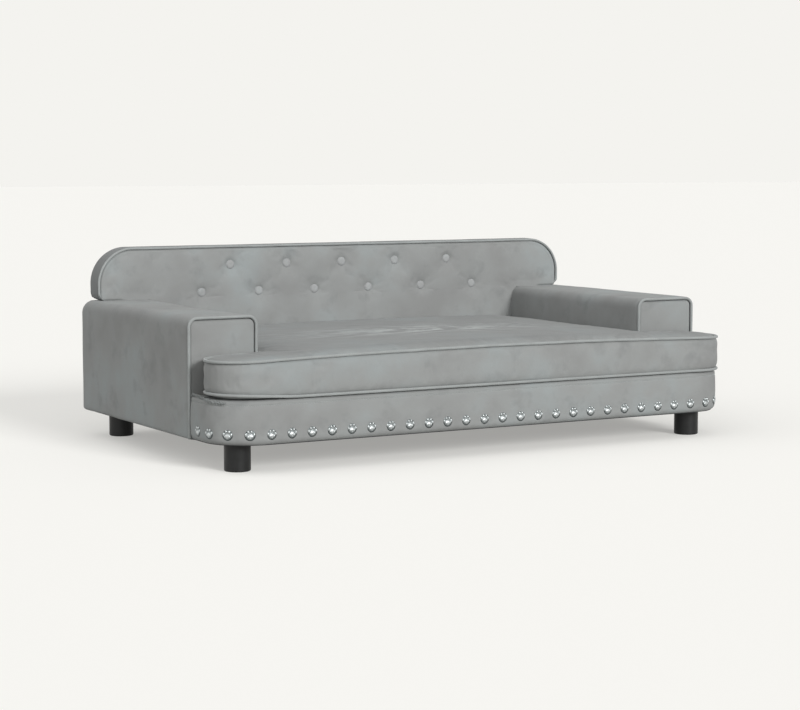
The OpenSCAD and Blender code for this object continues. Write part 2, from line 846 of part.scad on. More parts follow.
module at_rail(s) {
    // Puts children on the rail's face, s from its middle, with Z outward and Y up
    side = s < 0 ? -1 : 1;
    along = abs(s);
    on_side(side) translate([0, 0, stud_z]) {
        if (along <= straight_l)
            translate([along, rail_y, 0]) rotate([90, 0, 0]) children();
        else if (along <= straight_l + corner_l)
            translate([straight_l, rail_y + rail_corner_r, 0]) rotate([0, 0, corner_angle(along)])
                translate([0, -rail_corner_r, 0]) rotate([90, 0, 0]) children();
        else
            translate([rail_x, rail_y + rail_corner_r + along - straight_l - corner_l, 0])
                rotate([0, 0, 90]) rotate([90, 0, 0]) children();
    }
}

module at_studs() {
    for (i = [0:1:stud_count - 1])
        at_rail((i - (stud_count - 1) / 2) * stud_pitch + stud_shift) children();
}

module stud_nail_holes() {
    at_studs() rod_z(0, 0, -rail_board_in - stud_nail_bite, cut, stud_nail_d / 2 + nail_gap);
}

// Shares of the stud's radius: the pad, the four toes from left to right, and their sizes
pad_r_share = 0.56;
pad_down_share = 0.24;
toe_r_share = 0.25;
toe_shares = [[-0.62, 0.14], [-0.24, 0.56], [0.24, 0.56], [0.62, 0.14]];

module paw_stud() {
    stud_r = stud_d / 2;
    pad_r = stud_r * pad_r_share;
    toe_r = stud_r * toe_r_share;
    union() {
        rod_z(0, 0, 0, stud_plate_t, stud_r);
        rod_z(0, 0, -rail_board_in - stud_nail_bite, stud_plate_t, stud_nail_d / 2);
        intersection() {
            translate([0, -stud_r * pad_down_share, stud_plate_t + stud_pad_t - pad_r])
                sphere(pad_r, $fn = 32);
            rod_z(0, 0, stud_plate_t, stud_plate_t + stud_pad_t + cut, stud_r);
        }
        for (t = toe_shares) intersection() {
            translate([stud_r * t[0], stud_r * t[1], stud_plate_t]) sphere(toe_r, $fn = 24);
            rod_z(0, 0, stud_plate_t, stud_plate_t + stud_pad_t + cut, stud_r);
        }
    }
}

module paw_studs() {
    color(stud_col) at_studs() paw_stud();
}

// Feet and fasteners

module at_feet() {
    for (sx = [-1, 1]) for (y = [foot_front_y, foot_rear_y]) translate([sx * foot_x, y, 0]) children();
}

module foot(side, y) {
    foot_r = foot_d / 2;
    color(plastic_col) translate([side * foot_x, y, 0]) difference() {
        rotate_extrude() difference() {
            square([foot_r, frame_z]);
            corner_cut(foot_r, 0, foot_edge_r, -1, 1);
        }
        rod_z(0, 0, frame_z - foot_bolt_bite, frame_z + cut, foot_bolt_d / 2);
    }
}

module foot_bolts() {
    color(steel_col) at_feet()
        rod_z(0, 0, frame_z - foot_bolt_bite, block_top_z + tee_flange_t + bolt_tail, foot_bolt_d / 2);
}

module tee_nut(bolt_r, barrel_l) {
    // Stands on the XY plane with its barrel pointing down
    difference() {
        union() {
            rod_z(0, 0, 0, tee_flange_t, bolt_r + tee_wall + tee_flange_w);
            rod_z(0, 0, -barrel_l, tee_flange_t, bolt_r + tee_wall);
        }
        rod_z(0, 0, -barrel_l - cut, tee_flange_t + cut, bolt_r);
    }
}

module foot_tee_nuts() {
    color(steel_col) at_feet() translate([0, 0, block_top_z]) tee_nut(foot_bolt_d / 2, board_t);
}

module arm_bolts() {
    head_x = arm_in_x - rail_t;
    color(steel_col) both_sides() for (y = bolt_ys) union() {
        rod_x(head_x, arm_box_x0 + panel_t + tee_flange_t + bolt_tail, y, bolt_z, arm_bolt_d / 2);
        rod_x(head_x - bolt_head_t, head_x, y, bolt_z, arm_bolt_d);
    }
}

module arm_tee_nuts() {
    color(steel_col) both_sides() for (y = bolt_ys)
        translate([arm_box_x0 + panel_t, y, bolt_z]) rotate([0, 90, 0]) tee_nut(arm_bolt_d / 2, panel_t);
}

module wood_screw(r) {
    // Points down from a countersunk head whose top lies on the XY plane
    head_r = screw_head_d / 2;
    union() {
        rod_z(0, 0, -screw_l, 0, r);
        rotate_extrude() polygon([[0, 0], [head_r, 0], [r, r - head_r], [0, r - head_r]]);
    }
}

module deck_screw_set() {
    for (p = deck_screw_places) translate([p[0], p[1], deck_top_z]) wood_screw(screw_d / 2);
}

module deck_screws() {
    color(steel_col) deck_screw_set();
}

module back_screw_set() {
    for (x = back_screw_xs)
        translate([x, back_board_y1, back_screw_z]) rotate([-90, 0, 0]) wood_screw(screw_d / 2);
}

module back_screws() {
    color(steel_col) back_screw_set();
}

// Cushion. Its outline is a T with the bar at the front. Each corner turns from one direction
// to the next, and an inset shrinks the outward corners and widens the two inner ones.

module cushion_plan(inset) {
    half = cushion_x - inset;
    stem = cushion_stem_x - inset;
    wing_y = cushion_wing_y - inset;
    rear_r = wing_r - inset;
    round_box_2d(-half, half, y_front + inset, wing_y, cushion_front_r - inset, rear_r, rear_r);
    translate([-stem, wing_y - cut]) square([2 * stem, cushion_back_y - inset - wing_y + cut]);
}

function outward_r(r, inset) = max(r - inset, soft_gap);
function cushion_corners(inset, rear_inset) = [
    [-cushion_x + inset, y_front + inset, [0, -1], [1, 0], outward_r(cushion_front_r, inset)],
    [cushion_x - inset, y_front + inset, [1, 0], [0, 1], outward_r(cushion_front_r, inset)],
    [cushion_x - inset, cushion_wing_y - inset, [0, 1], [-1, 0], outward_r(wing_r, inset)],
    [cushion_stem_x - inset, cushion_wing_y - inset, [-1, 0], [0, 1], cushion_inner_r + inset],
    [cushion_stem_x - inset, cushion_back_y - rear_inset, [0, 1], [-1, 0], outward_r(cushion_rear_r, inset)],
    [-cushion_stem_x + inset, cushion_back_y - rear_inset, [-1, 0], [0, -1], outward_r(cushion_rear_r, inset)],
    [-cushion_stem_x + inset, cushion_wing_y - inset, [0, -1], [-1, 0], cushion_inner_r + inset],
    [-cushion_x + inset, cushion_wing_y - inset, [-1, 0], [0, -1], outward_r(wing_r, inset)]
];

// Steps round each corner, and along the straight that follows it
corner_steps = [9, 9, 7, 3, 4, 4, 3, 7];
straight_steps = [12, 2, 2, 5, 8, 5, 2, 2];

function corner_point(c, t) = [c[0], c[1]] + c[4] * (c[3] - c[2]) + c[4] * (sin(t) * c[2] - cos(t) * c[3]);
function cushion_path(inset, rear_inset) = let (cs = cushion_corners(inset, rear_inset)) [for (i = [0:1:7]) each concat(
    [for (k = [0:1:corner_steps[i]]) corner_point(cs[i], 90 * k / corner_steps[i])],
    let (a = corner_point(cs[i], 90), b = corner_point(cs[(i + 1) % 8], 0))
        [for (k = [1:1:straight_steps[i] - 1]) a + (b - a) * k / straight_steps[i]]
)];

function cushion_outline(inset) = cushion_path(inset, inset);

function top_seam_z(p) = high_seam_z + seam_rise * (1 - square_of(p[0] / cushion_x));

// Rings of the cushion's skin from its flat underside to its crown: the share of the boxing
// that a ring lies up, and how far out the ring swells as a share of the boxing's swell
boxing_shares = [[0, 0], [0.12, 0.6], [0.3, 1], [0.7, 1], [0.88, 0.6], [1, 0]];
// And over the top: how far in from the seam, as a share of the crown's width, and how far up
crown_shares = [[0.22, 0.42], [0.55, 0.8], [1, 1]];
crown_w_share = 0.85;
wing_share = 0.35;
crown_w = min(crown_w_share * (wing_depth - cushion_front_r - seam_in), wing_share * wing_depth);
under_w = 10;

function boxing_ring(s) = [for (p = cushion_path(seam_in - boxing_swell * s[1], seam_in + draw_in * s[1]))
    [p[0], p[1], mix(low_seam_z, top_seam_z(p), s[0])]];
function crown_ring(s) = [for (p = cushion_outline(seam_in + crown_w * s[0]))
    [p[0], p[1], top_seam_z(p) + crown_h * s[1]]];
function under_ring() = [for (p = cushion_outline(seam_in + under_w)) [p[0], p[1], cushion_z]];
cushion_rings = concat(
    [under_ring()],
    [for (s = boxing_shares) boxing_ring(s)],
    [for (s = crown_shares) crown_ring(s)]
);

module cushion_skin() {
    n = len(cushion_rings[0]);
    count = len(cushion_rings);
    middle = [0, (y_front + cushion_wing_y) / 2];
    points = concat([for (r = cushion_rings) each r], [
        [middle[0], middle[1], cushion_z],
        [middle[0], middle[1], top_seam_z(middle) + crown_h]
    ]);
    low = n * count;
    high = low + 1;
    top = n * (count - 1);
    polyhedron(points = points, faces = concat(
        [for (i = [0:1:n - 1]) [low, i, (i + 1) % n]],
        [for (j = [0:1:count - 2]) for (i = [0:1:n - 1]) let (k = (i + 1) % n) each [
            [j * n + i, (j + 1) * n + i, j * n + k],
            [j * n + k, (j + 1) * n + i, (j + 1) * n + k]
        ]],
        [for (i = [0:1:n - 1]) [high, top + (i + 1) % n, top + i]]
    ));
}

module cushion_core() {
    color(foam_col) slab(core_z0, core_z1) cushion_plan(core_in);
}

module cushion_cover() {
    color(velvet_col) difference() {
        cushion_skin();
        slab(core_z0, core_z1) cushion_plan(core_in);
    }
}

module piping_loop(path) {
    // A closed tube along the path, six-sided
    n = len(path);
    sides = 6;
    turn = 360 / sides;
    rings = [for (i = [0:1:n - 1]) let (
        ahead = path[(i + 1) % n] - path[(i + n - 1) % n],
        out = [ahead[1], -ahead[0], 0] / norm([ahead[0], ahead[1]])
    ) each [for (k = [0:1:sides - 1])
        path[i] + piping_r * (cos(turn * k) * out + sin(turn * k) * [0, 0, 1])]];
    polyhedron(points = rings, faces = [for (i = [0:1:n - 1]) for (k = [0:1:sides - 1]) let (
        a = i * sides + k,
        b = i * sides + (k + 1) % sides,
        c = ((i + 1) % n) * sides + k,
        d = ((i + 1) % n) * sides + (k + 1) % sides
    ) each [[a, b, c], [b, d, c]]]);
}

module cushion_piping_top() {
    color(piping_col) piping_loop([for (p = cushion_outline(piping_r)) [p[0], p[1], top_seam_z(p)]]);
}

module cushion_piping_bottom() {
    color(piping_col) piping_loop([for (p = cushion_outline(piping_r)) [p[0], p[1], low_seam_z]]);
}

// Zip in the rear boxing

module zip_tape() {
    tape_y = zip_y + zip_tape_t;
    color(cloth_col) union() {
        box(-zip_l / 2, zip_l / 2, zip_y, tape_y, zip_z - zip_tape_w / 2, zip_z + zip_tape_w / 2);
        box(-zip_l / 2, zip_l / 2, tape_y, tape_y + zip_teeth_t,
            zip_z - zip_teeth_w / 2, zip_z + zip_teeth_w / 2);
    }
}

module zip_slider() {
    slider_y0 = zip_y + zip_tape_t + slider_gap;
    groove_y = zip_y + zip_tape_t + zip_teeth_t + slider_gap;
    slider_y1 = groove_y + slider_wall;
    groove_w = zip_teeth_w + 2 * slider_gap;
    color(steel_col) translate([slider_x, 0, 0]) union() {
        difference() {
            box(0, slider_l, slider_y0, slider_y1, zip_z - slider_w / 2, zip_z + slider_w / 2);
            box(-cut, slider_l + cut, slider_y0 - cut, groove_y, zip_z - groove_w / 2, zip_z + groove_w / 2);
        }
        box(slider_l / 2 - pull_w / 2, slider_l / 2 + pull_w / 2, slider_y1, slider_y1 + pull_t,
            zip_z - pull_l, zip_z + pull_w / 2);
    }
}

front_rail_board();
cross_rail();
side_rail(-1);  // side_rail_left
side_rail(1);  // side_rail_right
back_rail();
centre_rail();
foot_blocks();
seat_deck();
deck_cloth();
rail_padding();
rail_cover();
rail_seam();
dust_cover();
arm_front_board(-1);  // arm_front_board_left
arm_front_board(1);  // arm_front_board_right
arm_rear_board(-1);  // arm_rear_board_left
arm_rear_board(1);  // arm_rear_board_right
arm_outer_panel(-1);  // arm_outer_panel_left
arm_outer_panel(1);  // arm_outer_panel_right
arm_inner_panel(-1);  // arm_inner_panel_left
arm_inner_panel(1);  // arm_inner_panel_right
arm_top_board(-1);  // arm_top_board_left
arm_top_board(1);  // arm_top_board_right
arm_padding(-1);  // arm_padding_left
arm_padding(1);  // arm_padding_right
arm_cover(-1);  // arm_cover_left
arm_cover(1);  // arm_cover_right
arm_front_panel(-1);  // arm_front_panel_left
arm_front_panel(1);  // arm_front_panel_right
arm_piping(-1);  // arm_piping_left
arm_piping(1);  // arm_piping_right
back_board();
back_foam();
back_tufted_cover();
back_side_band();
back_rear_cover();
back_piping();
buttons();
button_nails();
paw_studs();
foot(-1, foot_front_y);  // foot_front_left
foot(1, foot_front_y);  // foot_front_right
foot(-1, foot_rear_y);  // foot_rear_left
foot(1, foot_rear_y);  // foot_rear_right
foot_bolts();
foot_tee_nuts();
arm_bolts();
arm_tee_nuts();
deck_screws();
back_screws();
cushion_core();
cushion_cover();
cushion_piping_top();
cushion_piping_bottom();
zip_tape();
zip_slider();
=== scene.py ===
"""The looks of the dog sofa bed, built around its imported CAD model.

Every class below is one sub-assembly of the sofa. Its sizes are in millimetres, in the frame of the
CAD model: X across, Y from front to back, Z up, the origin on the floor. Surfaces are worked out as
grids of points with numpy, and become meshes in metres.
"""

import logging
import math
from collections.abc import Callable, Sequence
from dataclasses import dataclass, field
from enum import Enum
from functools import partial

import bmesh
import bpy
import numpy as np
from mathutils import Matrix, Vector

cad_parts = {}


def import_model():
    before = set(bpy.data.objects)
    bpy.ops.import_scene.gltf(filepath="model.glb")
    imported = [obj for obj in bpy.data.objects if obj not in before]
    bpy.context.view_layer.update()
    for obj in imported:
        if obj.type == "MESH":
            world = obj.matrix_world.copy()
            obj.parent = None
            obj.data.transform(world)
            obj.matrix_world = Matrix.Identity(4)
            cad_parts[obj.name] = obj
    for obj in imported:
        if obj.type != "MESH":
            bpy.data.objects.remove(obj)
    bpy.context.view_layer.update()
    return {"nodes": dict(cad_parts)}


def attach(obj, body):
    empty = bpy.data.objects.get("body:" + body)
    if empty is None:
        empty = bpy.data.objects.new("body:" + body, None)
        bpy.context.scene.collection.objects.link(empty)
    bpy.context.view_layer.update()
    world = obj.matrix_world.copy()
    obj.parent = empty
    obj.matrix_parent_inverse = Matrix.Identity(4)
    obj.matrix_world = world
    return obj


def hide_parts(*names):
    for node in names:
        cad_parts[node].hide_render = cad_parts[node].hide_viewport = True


LOG = logging.getLogger("sofa")
MM = 0.001
STUFFING_FRAMES = 20
UP = np.array([0.0, 0.0, 1.0])
BACK = np.array([0.0, 1.0, 0.0])
Array = np.ndarray
Piece = bpy.types.Object
Material = bpy.types.Material
Socket = bpy.types.NodeSocket
Tree = bpy.types.NodeTree
Node = bpy.types.Node
Outputs = bpy.types.bpy_prop_collection
FLOAT = {"data_type": "FLOAT"}
COLOUR = {"data_type": "RGBA"}
TIMES = {"operation": "MULTIPLY"}
LARGER = {"operation": "MAXIMUM"}
SLANTING = {"bands_direction": "DIAGONAL"}


class Side(Enum):
    """The two sides of the sofa, as seen from its front."""

    LEFT = -1
    RIGHT = 1


class Body(Enum):
    """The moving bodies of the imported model."""

    SOFA = "sofa"
    CUSHION = "cushion"


# Points and surfaces


def linear(code: str) -> tuple[float, float, float, float]:
    """Turns an sRGB hex colour into linear red, green, blue and alpha.

    Args:
        code: the colour, such as "#979c9d".

    Returns:
        Four numbers from 0 to 1.
    """
    parts = [int(code[i : i + 2], 16) / 255 for i in (1, 3, 5)]
    light = [c / 12.92 if c <= 0.04045 else ((c + 0.055) / 1.055) ** 2.4 for c in parts]
    return light[0], light[1], light[2], 1.0


def ease(share: Array) -> Array:
    """Smoothstep: 3 s squared minus 2 s cubed, of a share held between 0 and 1."""
    held = np.clip(share, 0, 1)
    return held * held * (3 - 2 * held)


def bump(distance: Array, width: float) -> Array:
    """A bell: e to the power of minus the square of distance over width."""
    return np.exp(-np.square(distance / width))


def xyz(x: float | Array, y: float | Array, z: float | Array) -> Array:
    """Joins three coordinates, each a number or an array, to points."""
    return np.stack(np.broadcast_arrays(x, y, z), -1)


def at_height(flat: Array, z: float | Array) -> Array:
    """Gives points of a plane, in two columns, their height."""
    return xyz(flat[..., 0], flat[..., 1], z)


def cloud(points: Array, scale: float | Sequence[float], seed: int) -> Array:
    """Smooth noise in space: random values on a lattice, joined by smoothstep weights.

    Args:
        points: any array of points whose last axis is X, Y and Z.
        scale: the lattice's spacing, in the points' own unit.
        seed: a whole number that picks the random values.

    Returns:
        One value from -1 to 1 for each point.
    """
    at = points / np.asarray(scale, float) + 17.3 * seed
    cell = np.floor(at).astype(np.int64)
    weight = ease(at - cell)
    total = np.zeros(points.shape[:-1])
    for corner in range(8):
        step = np.array([corner & 1, corner >> 1 & 1, corner >> 2 & 1])
        code = (cell + step) @ np.array([73856093, 19349663, 83492791]) + seed * 668265263
        code = (code ^ code >> 13) * 1274126177 & 0x7FFFFFFF
        value = ((code ^ code >> 15) % 20011) / 10005.0 - 1
        total += value * np.prod(np.where(step, weight, 1 - weight), axis=-1)
    return total


@dataclass(frozen=True)
class Outline:
    """A path of straight runs and round corners in a plane, with its outside on the right.

    Attributes:
        corners: for each corner its two coordinates and its radius.
        spacing: the distance between points on the straight runs.
        closed: whether the last corner joins the first.
    """

    corners: tuple[tuple[float, float, float], ...]
    spacing: float = 4.0
    closed: bool = True

    def ring(self, inset: float = 0.0) -> tuple[Array, Array]:
        """Walks the path, moved towards its inside.

        Each corner moves along the sum of its two normals, its radius shrinks by the inset where
        the path turns left and grows where it turns right, and the steps stay the same.

        Args:
            inset: how far the path is moved in.

        Returns:
            The points and their outward normals, two columns each.
        """
        given = np.array(self.corners, float)
        here, radii = given[:, :2], given[:, 2]
        ahead = np.roll(here, -1, axis=0) - here
        run = np.linalg.norm(ahead, axis=1, keepdims=True)
        way = ahead / run
        out = np.stack([way[:, 1], -way[:, 0]], axis=1)
        count = len(here)
        turning = range(count) if self.closed else range(1, count - 1)
        before = {i: (i - 1) % count for i in turning}
        starts: dict[int, Array] = {}
        ends: dict[int, Array] = {}
        arcs: dict[int, tuple[Array, Array]] = {}
        if not self.closed:
            ends[0] = here[0] - inset * out[0]
            starts[count - 1] = here[-1] - inset * out[-2]
        for i in turning:
            n0, n1 = out[before[i]], out[i]
            turn = math.atan2(n0[0] * n1[1] - n0[1] * n1[0], float(n0 @ n1))
            sign = 1.0 if turn > 0 else -1.0
            radius = max(radii[i] - sign * inset, 0.3)
            corner = here[i] - inset * (n0 + n1) / (1 + float(n0 @ n1))
            start = corner - way[before[i]] * radius * math.tan(abs(turn) / 2)
            middle = start - sign * radius * n0
            steps = max(3, math.ceil(radii[i] * abs(turn) / min(self.spacing, radii[i] / 3 + 0.5)))
            angle = np.linspace(0, turn, steps + 1)[:, None]
            normal = np.cos(angle) * n0 + np.sin(angle) * np.array([-n0[1], n0[0]])
            arcs[i] = (middle + sign * radius * normal, normal)
            starts[i], ends[i] = arcs[i][0][0], arcs[i][0][-1]
        points, normals = [], []
        for i in range(count if self.closed else count - 1):
            j = (i + 1) % count
            if i in arcs:
                points.append(arcs[i][0][:-1])
                normals.append(arcs[i][1][:-1])
            steps = max(2, math.ceil((run[i, 0] - radii[i] - radii[j]) / self.spacing))
            share = np.arange(steps)[:, None] / steps
            points.append(ends[i] + (starts[j] - ends[i]) * share)
            normals.append(np.repeat(out[i][None, :], steps, axis=0))
        if not self.closed:
            points.append(starts[count - 1][None, :])
            normals.append(out[-2][None, :])
        return np.concatenate(points), np.concatenate(normals)

    def length_along(self) -> Array:
        """The distance walked from the first point to each point of the path."""
        points, _ = self.ring()
        steps = np.linalg.norm(np.diff(points, axis=0), axis=1)
        return np.concatenate([[0.0], np.cumsum(steps)])

    def sweep(self, profile: Sequence[tuple[float, float]]) -> Array:
        """Carries a profile round the path.

        Args:
            profile: pairs of inset and height, from the lowest row to the highest.

        Returns:
            Points by row and step: two coordinates of the path and the height.
        """
        return np.stack([at_height(self.ring(inset)[0], height) for inset, height in profile])


def join_rows(rows: int, columns: int, wrap_rows: bool, wrap_columns: bool) -> Array:
    """Lists the four corners of each face of a grid whose rows run upwards, facing right of them.

    Args:
        rows: how many rows the grid has.
        columns: how many columns it has.
        wrap_rows: whether the last row joins the first.
        wrap_columns: whether the last column joins the first.

    Returns:
        The numbers of the corners, a row for each face.
    """
    i = np.arange(rows if wrap_rows else rows - 1)[:, None]
    j = np.arange(columns if wrap_columns else columns - 1)[None, :]
    i1, j1 = (i + 1) % rows, (j + 1) % columns
    corners = [i * columns + j, i * columns + j1, i1 * columns + j1, i1 * columns + j]
    return np.stack(np.broadcast_arrays(*corners), -1).reshape(-1, 4)


@dataclass
class Surface:
    """A grid of points in millimetres that becomes one mesh object.

    Attributes:
        name: the object's name.
        points: the points by row and column.
        wrap_rows: whether the last row joins the first.
        wrap_columns: whether the last column joins the first.
        cap_low: whether the first row is closed with a fan.
        cap_high: whether the last row is closed with a fan.
        flip: whether the faces are turned over.
        keep: for each face of the grid whether it is kept, or nothing to keep them all.
    """

    name: str
    points: Array
    wrap_rows: bool = False
    wrap_columns: bool = False
    cap_low: bool = False
    cap_high: bool = False
    flip: bool = False
    keep: Array | None = None

    def build(self) -> Piece:
        """Makes the mesh, with a UV map in metres along its columns and its rows."""
        rows, columns = self.points.shape[:2]
        along = np.linalg.norm(np.diff(self.points, axis=1, append=self.points[:, :1]), axis=2)
        across = np.linalg.norm(np.diff(self.points, axis=0, append=self.points[:1]), axis=2)
        u = np.concatenate([np.zeros((rows, 1)), np.cumsum(along, axis=1)], axis=1).mean(axis=0)
        v = np.concatenate([np.zeros((1, columns)), np.cumsum(across, axis=0)], axis=0).mean(axis=1)
        faces = join_rows(rows, columns, self.wrap_rows, self.wrap_columns)
        i = np.arange(rows if self.wrap_rows else rows - 1)
        j = np.arange(columns if self.wrap_columns else columns - 1)
        vi, uj = np.meshgrid(v[i], u[j], indexing="ij")
        vi1, uj1 = np.meshgrid(v[i + 1], u[j + 1], indexing="ij")
        round_face = ((uj, vi), (uj1, vi), (uj1, vi1), (uj, vi1))
        uv = np.stack([np.stack(pair, -1) for pair in round_face], 2).reshape(-1, 4, 2)
        if self.keep is not None:
            faces, uv = faces[self.keep.ravel()], uv[self.keep.ravel()]
        vertices = [self.points.reshape(-1, 3)]
        loops, sizes, coordinates = [faces.reshape(-1)], [np.full(len(faces), 4)], [uv.reshape(-1, 2)]
        total = rows * columns
        for wanted, row, turned in ((self.cap_low, 0, True), (self.cap_high, rows - 1, False)):
            if not wanted:
                continue
            vertices.append(self.points[row].mean(axis=0)[None, :])
            start = row * columns + np.arange(columns if self.wrap_columns else columns - 1)
            after = row * columns + (np.arange(len(start)) + 1) % columns
            fan = np.stack([after, start] if turned else [start, after], -1)
            fan = np.column_stack([fan, np.full(len(start), total)])
            loops.append(fan.reshape(-1))
            sizes.append(np.full(len(fan), 3))
            coordinates.append(np.zeros((len(fan) * 3, 2)))
            total += 1
        parts = [np.concatenate(part) for part in (vertices, loops, sizes, coordinates)]
        return make_mesh(self.name, *parts, self.flip)


def make_mesh(
    name: str, vertices: Array, loops: Array, sizes: Array, uv: Array | None = None, flip: bool = False
) -> Piece:
    """Puts vertices in millimetres and faces into a new smooth mesh object at the origin.

    Args:
        name: the object's name.
        vertices: one point a row.
        loops: the vertex numbers of all faces, one after another.
        sizes: how many corners each face has.
        uv: the UV coordinates of each loop, in millimetres.
        flip: whether the faces are turned over.

    Returns:
        The object, linked to the scene.
    """
    mesh = bpy.data.meshes.new(name)
    mesh.vertices.add(len(vertices))
    mesh.vertices.foreach_set("co", (vertices * MM).astype(np.float32).ravel())
    mesh.loops.add(len(loops))
    mesh.loops.foreach_set("vertex_index", loops.astype(np.int32))
    mesh.polygons.add(len(sizes))
    mesh.polygons.foreach_set("loop_start", np.concatenate([[0], np.cumsum(sizes)[:-1]]).astype(np.int32))
    if uv is not None:
        mesh.uv_layers.new(name="cloth").data.foreach_set("uv", (uv * MM).astype(np.float32).ravel())
    mesh.update(calc_edges=True)
    mesh.validate()
    if flip:
        mesh.flip_normals()
    mesh.shade_smooth()
    obj = bpy.data.objects.new(name, mesh)
    bpy.context.scene.collection.objects.link(obj)
    return obj


def tube(name: str, path: Array, radius: float | Array, sides: int = 12, closed: bool = False) -> Piece:
    """Makes a round tube: at each point a circle in the plane of two normals of the path.

    Args:
        name: the object's name.
        path: the points of its middle line.
        radius: its radius, one for all or one for each point.
        sides: how many faces lie round it.
        closed: whether its end joins its start.

    Returns:
        The tube, closed at its ends.
    """
    if closed:
        way = np.roll(path, -1, axis=0) - np.roll(path, 1, axis=0)
    else:
        way = np.gradient(path, axis=0)
    way /= np.linalg.norm(way, axis=1, keepdims=True)
    flattest = np.eye(3)[np.argmin(np.abs(way).max(axis=0))]
    first = np.cross(way, flattest)
    first /= np.linalg.norm(first, axis=1, keepdims=True)
    second = np.cross(way, first)
    turn = np.linspace(0, 2 * math.pi, sides, endpoint=False)
    circle = np.cos(turn)[:, None, None] * first + np.sin(turn)[:, None, None] * second
    points = path + circle * np.reshape(radius, (-1, 1) if np.ndim(radius) else ())
    points = np.swapaxes(points, 0, 1)
    ends = not closed
    return Surface(name, points, wrap_rows=closed, wrap_columns=True, cap_low=ends, cap_high=ends).build()


def strewn(
    name: str, template: Surface, places: Array, axes: Array, tone: Callable[[Array], Array] | None = None
) -> Piece:
    """Repeats a small shape in one mesh: place plus the shape's points times the local axes.

    Args:
        name: the object's name.
        template: the shape, round its own origin.
        places: where each copy's origin goes.
        axes: three unit rows, the directions of the shape's X, Y and Z, for each copy or for all.
        tone: gives each of the shape's points a value, which is kept as the attribute "tone".

    Returns:
        One object with all the copies.
    """
    one = template.build()
    mesh = one.data
    points = read(mesh.vertices, "co", 3) / MM
    loops = read(mesh.loops, "vertex_index", 1, np.int32).ravel()
    sizes = read(mesh.polygons, "loop_total", 1, np.int32).ravel()
    bpy.data.objects.remove(one)
    bpy.data.meshes.remove(mesh)
    count = len(places)
    every = places[:, None, :] + points @ axes
    shifted = loops[None, :] + (np.arange(count) * len(points))[:, None]
    obj = make_mesh(name, every.reshape(-1, 3), shifted.reshape(-1), np.tile(sizes, count))
    if tone is not None:
        mark(obj, "tone", np.tile(tone(points), count))
    return obj


def frames(way: Array, up: Array) -> Array:
    """Local axes for strewn: X along the way, Z nearest to up, Y across both.

    Args:
        way: the direction of each X.
        up: the direction that each Z comes nearest to, one for all or one for each.

    Returns:
        Three unit rows for each way.
    """
    x = way / np.linalg.norm(way, axis=-1, keepdims=True)
    y = np.cross(up, x)
    y /= np.linalg.norm(y, axis=-1, keepdims=True)
    return np.stack([x, y, np.cross(x, y)], axis=-2)


def capsule(length: float, width: float, height: float, rounds: int = 6) -> Surface:
    """A stitch or a staple's crown: an ellipsoid with the three given sizes, poles on X.

    Args:
        length: its size along X.
        width: its size along Y.
        height: its size along Z.
        rounds: how many faces lie round it.

    Returns:
        The shape, for strewn.
    """
    lie = np.linspace(0.12, math.pi - 0.12, 5)[:, None]
    turn = np.linspace(0, 2 * math.pi, rounds, endpoint=False)[None, :]
    x = -np.cos(lie) * length / 2
    y = np.sin(lie) * np.cos(turn) * width / 2
    z = np.sin(lie) * np.sin(turn) * height / 2
    return Surface("shape", xyz(x, y, z), wrap_columns=True, cap_low=True, cap_high=True, flip=True)


def solid(obj: Piece, thickness: float) -> Piece:
    """Gives an open skin its cloth's thickness, in millimetres, inwards.

    Args:
        obj: the skin.
        thickness: the cloth's thickness in millimetres.

    Returns:
        The same object.
    """
    wall = obj.modifiers.new("cloth", "SOLIDIFY")
    wall.thickness = thickness * MM
    wall.offset = -1
    return obj


def weld(obj: Piece) -> Piece:
    """Merges vertices less than a hundredth of a millimetre apart.

    Args:
        obj: the mesh object.

    Returns:
        The same object.
    """
    work = bmesh.new()
    work.from_mesh(obj.data)
    bmesh.ops.remove_doubles(work, verts=work.verts, dist=0.01 * MM)
    bmesh.ops.dissolve_degenerate(work, edges=work.edges, dist=0.001 * MM)
    work.to_mesh(obj.data)
    work.free()
    return obj


def bake_modifiers(obj: Piece) -> Piece:
    """Applies an object's modifiers to its mesh.

    Args:
        obj: the mesh object.

    Returns:
        The same object.
    """
    shown = obj.evaluated_get(bpy.context.evaluated_depsgraph_get())
    mesh = bpy.data.meshes.new_from_object(shown)
    obj.modifiers.clear()
    old = obj.data
    obj.data = mesh
    bpy.data.meshes.remove(old)
    return obj


def read(items: bpy.types.bpy_prop_collection, name: str, wide: int, kind: type = np.float32) -> Array:
    """Reads a property of all of a mesh's items, a row of so many numbers for each.

    Args:
        items: the mesh's vertices, loops or faces.
        name: the property.
        wide: how many numbers an item has.
        kind: the type of the numbers.

    Returns:
        The numbers, a row for each item.
    """
    values = np.zeros(len(items) * wide, kind)
    items.foreach_get(name, values)
    return values.reshape(-1, wide)


def points_of(obj: Piece) -> Array:
    """The vertices of an object, in millimetres."""
    return read(obj.data.vertices, "co", 3).astype(float) / MM


def normals_of(obj: Piece) -> Array:
    """The vertex normals of an object."""
    return read(obj.data.vertex_normals, "vector", 3).astype(float)


def set_points(obj: Piece, points: Array) -> None:
    """Moves the vertices of an object to points in millimetres."""
    obj.data.vertices.foreach_set("co", (points * MM).astype(np.float32).ravel())
    obj.data.update()


def mark(obj: Piece, name: str, values: Array) -> None:
    """Stores one number for each vertex as an attribute that a material reads."""
    obj.data.attributes.new(name, "FLOAT", "POINT").data.foreach_set("value", values.astype(np.float32))


# Finishes


def per_mm(size: float) -> float:
    """The Scale of a pattern whose cells are so many millimetres wide."""
    return 1 / (size * MM)


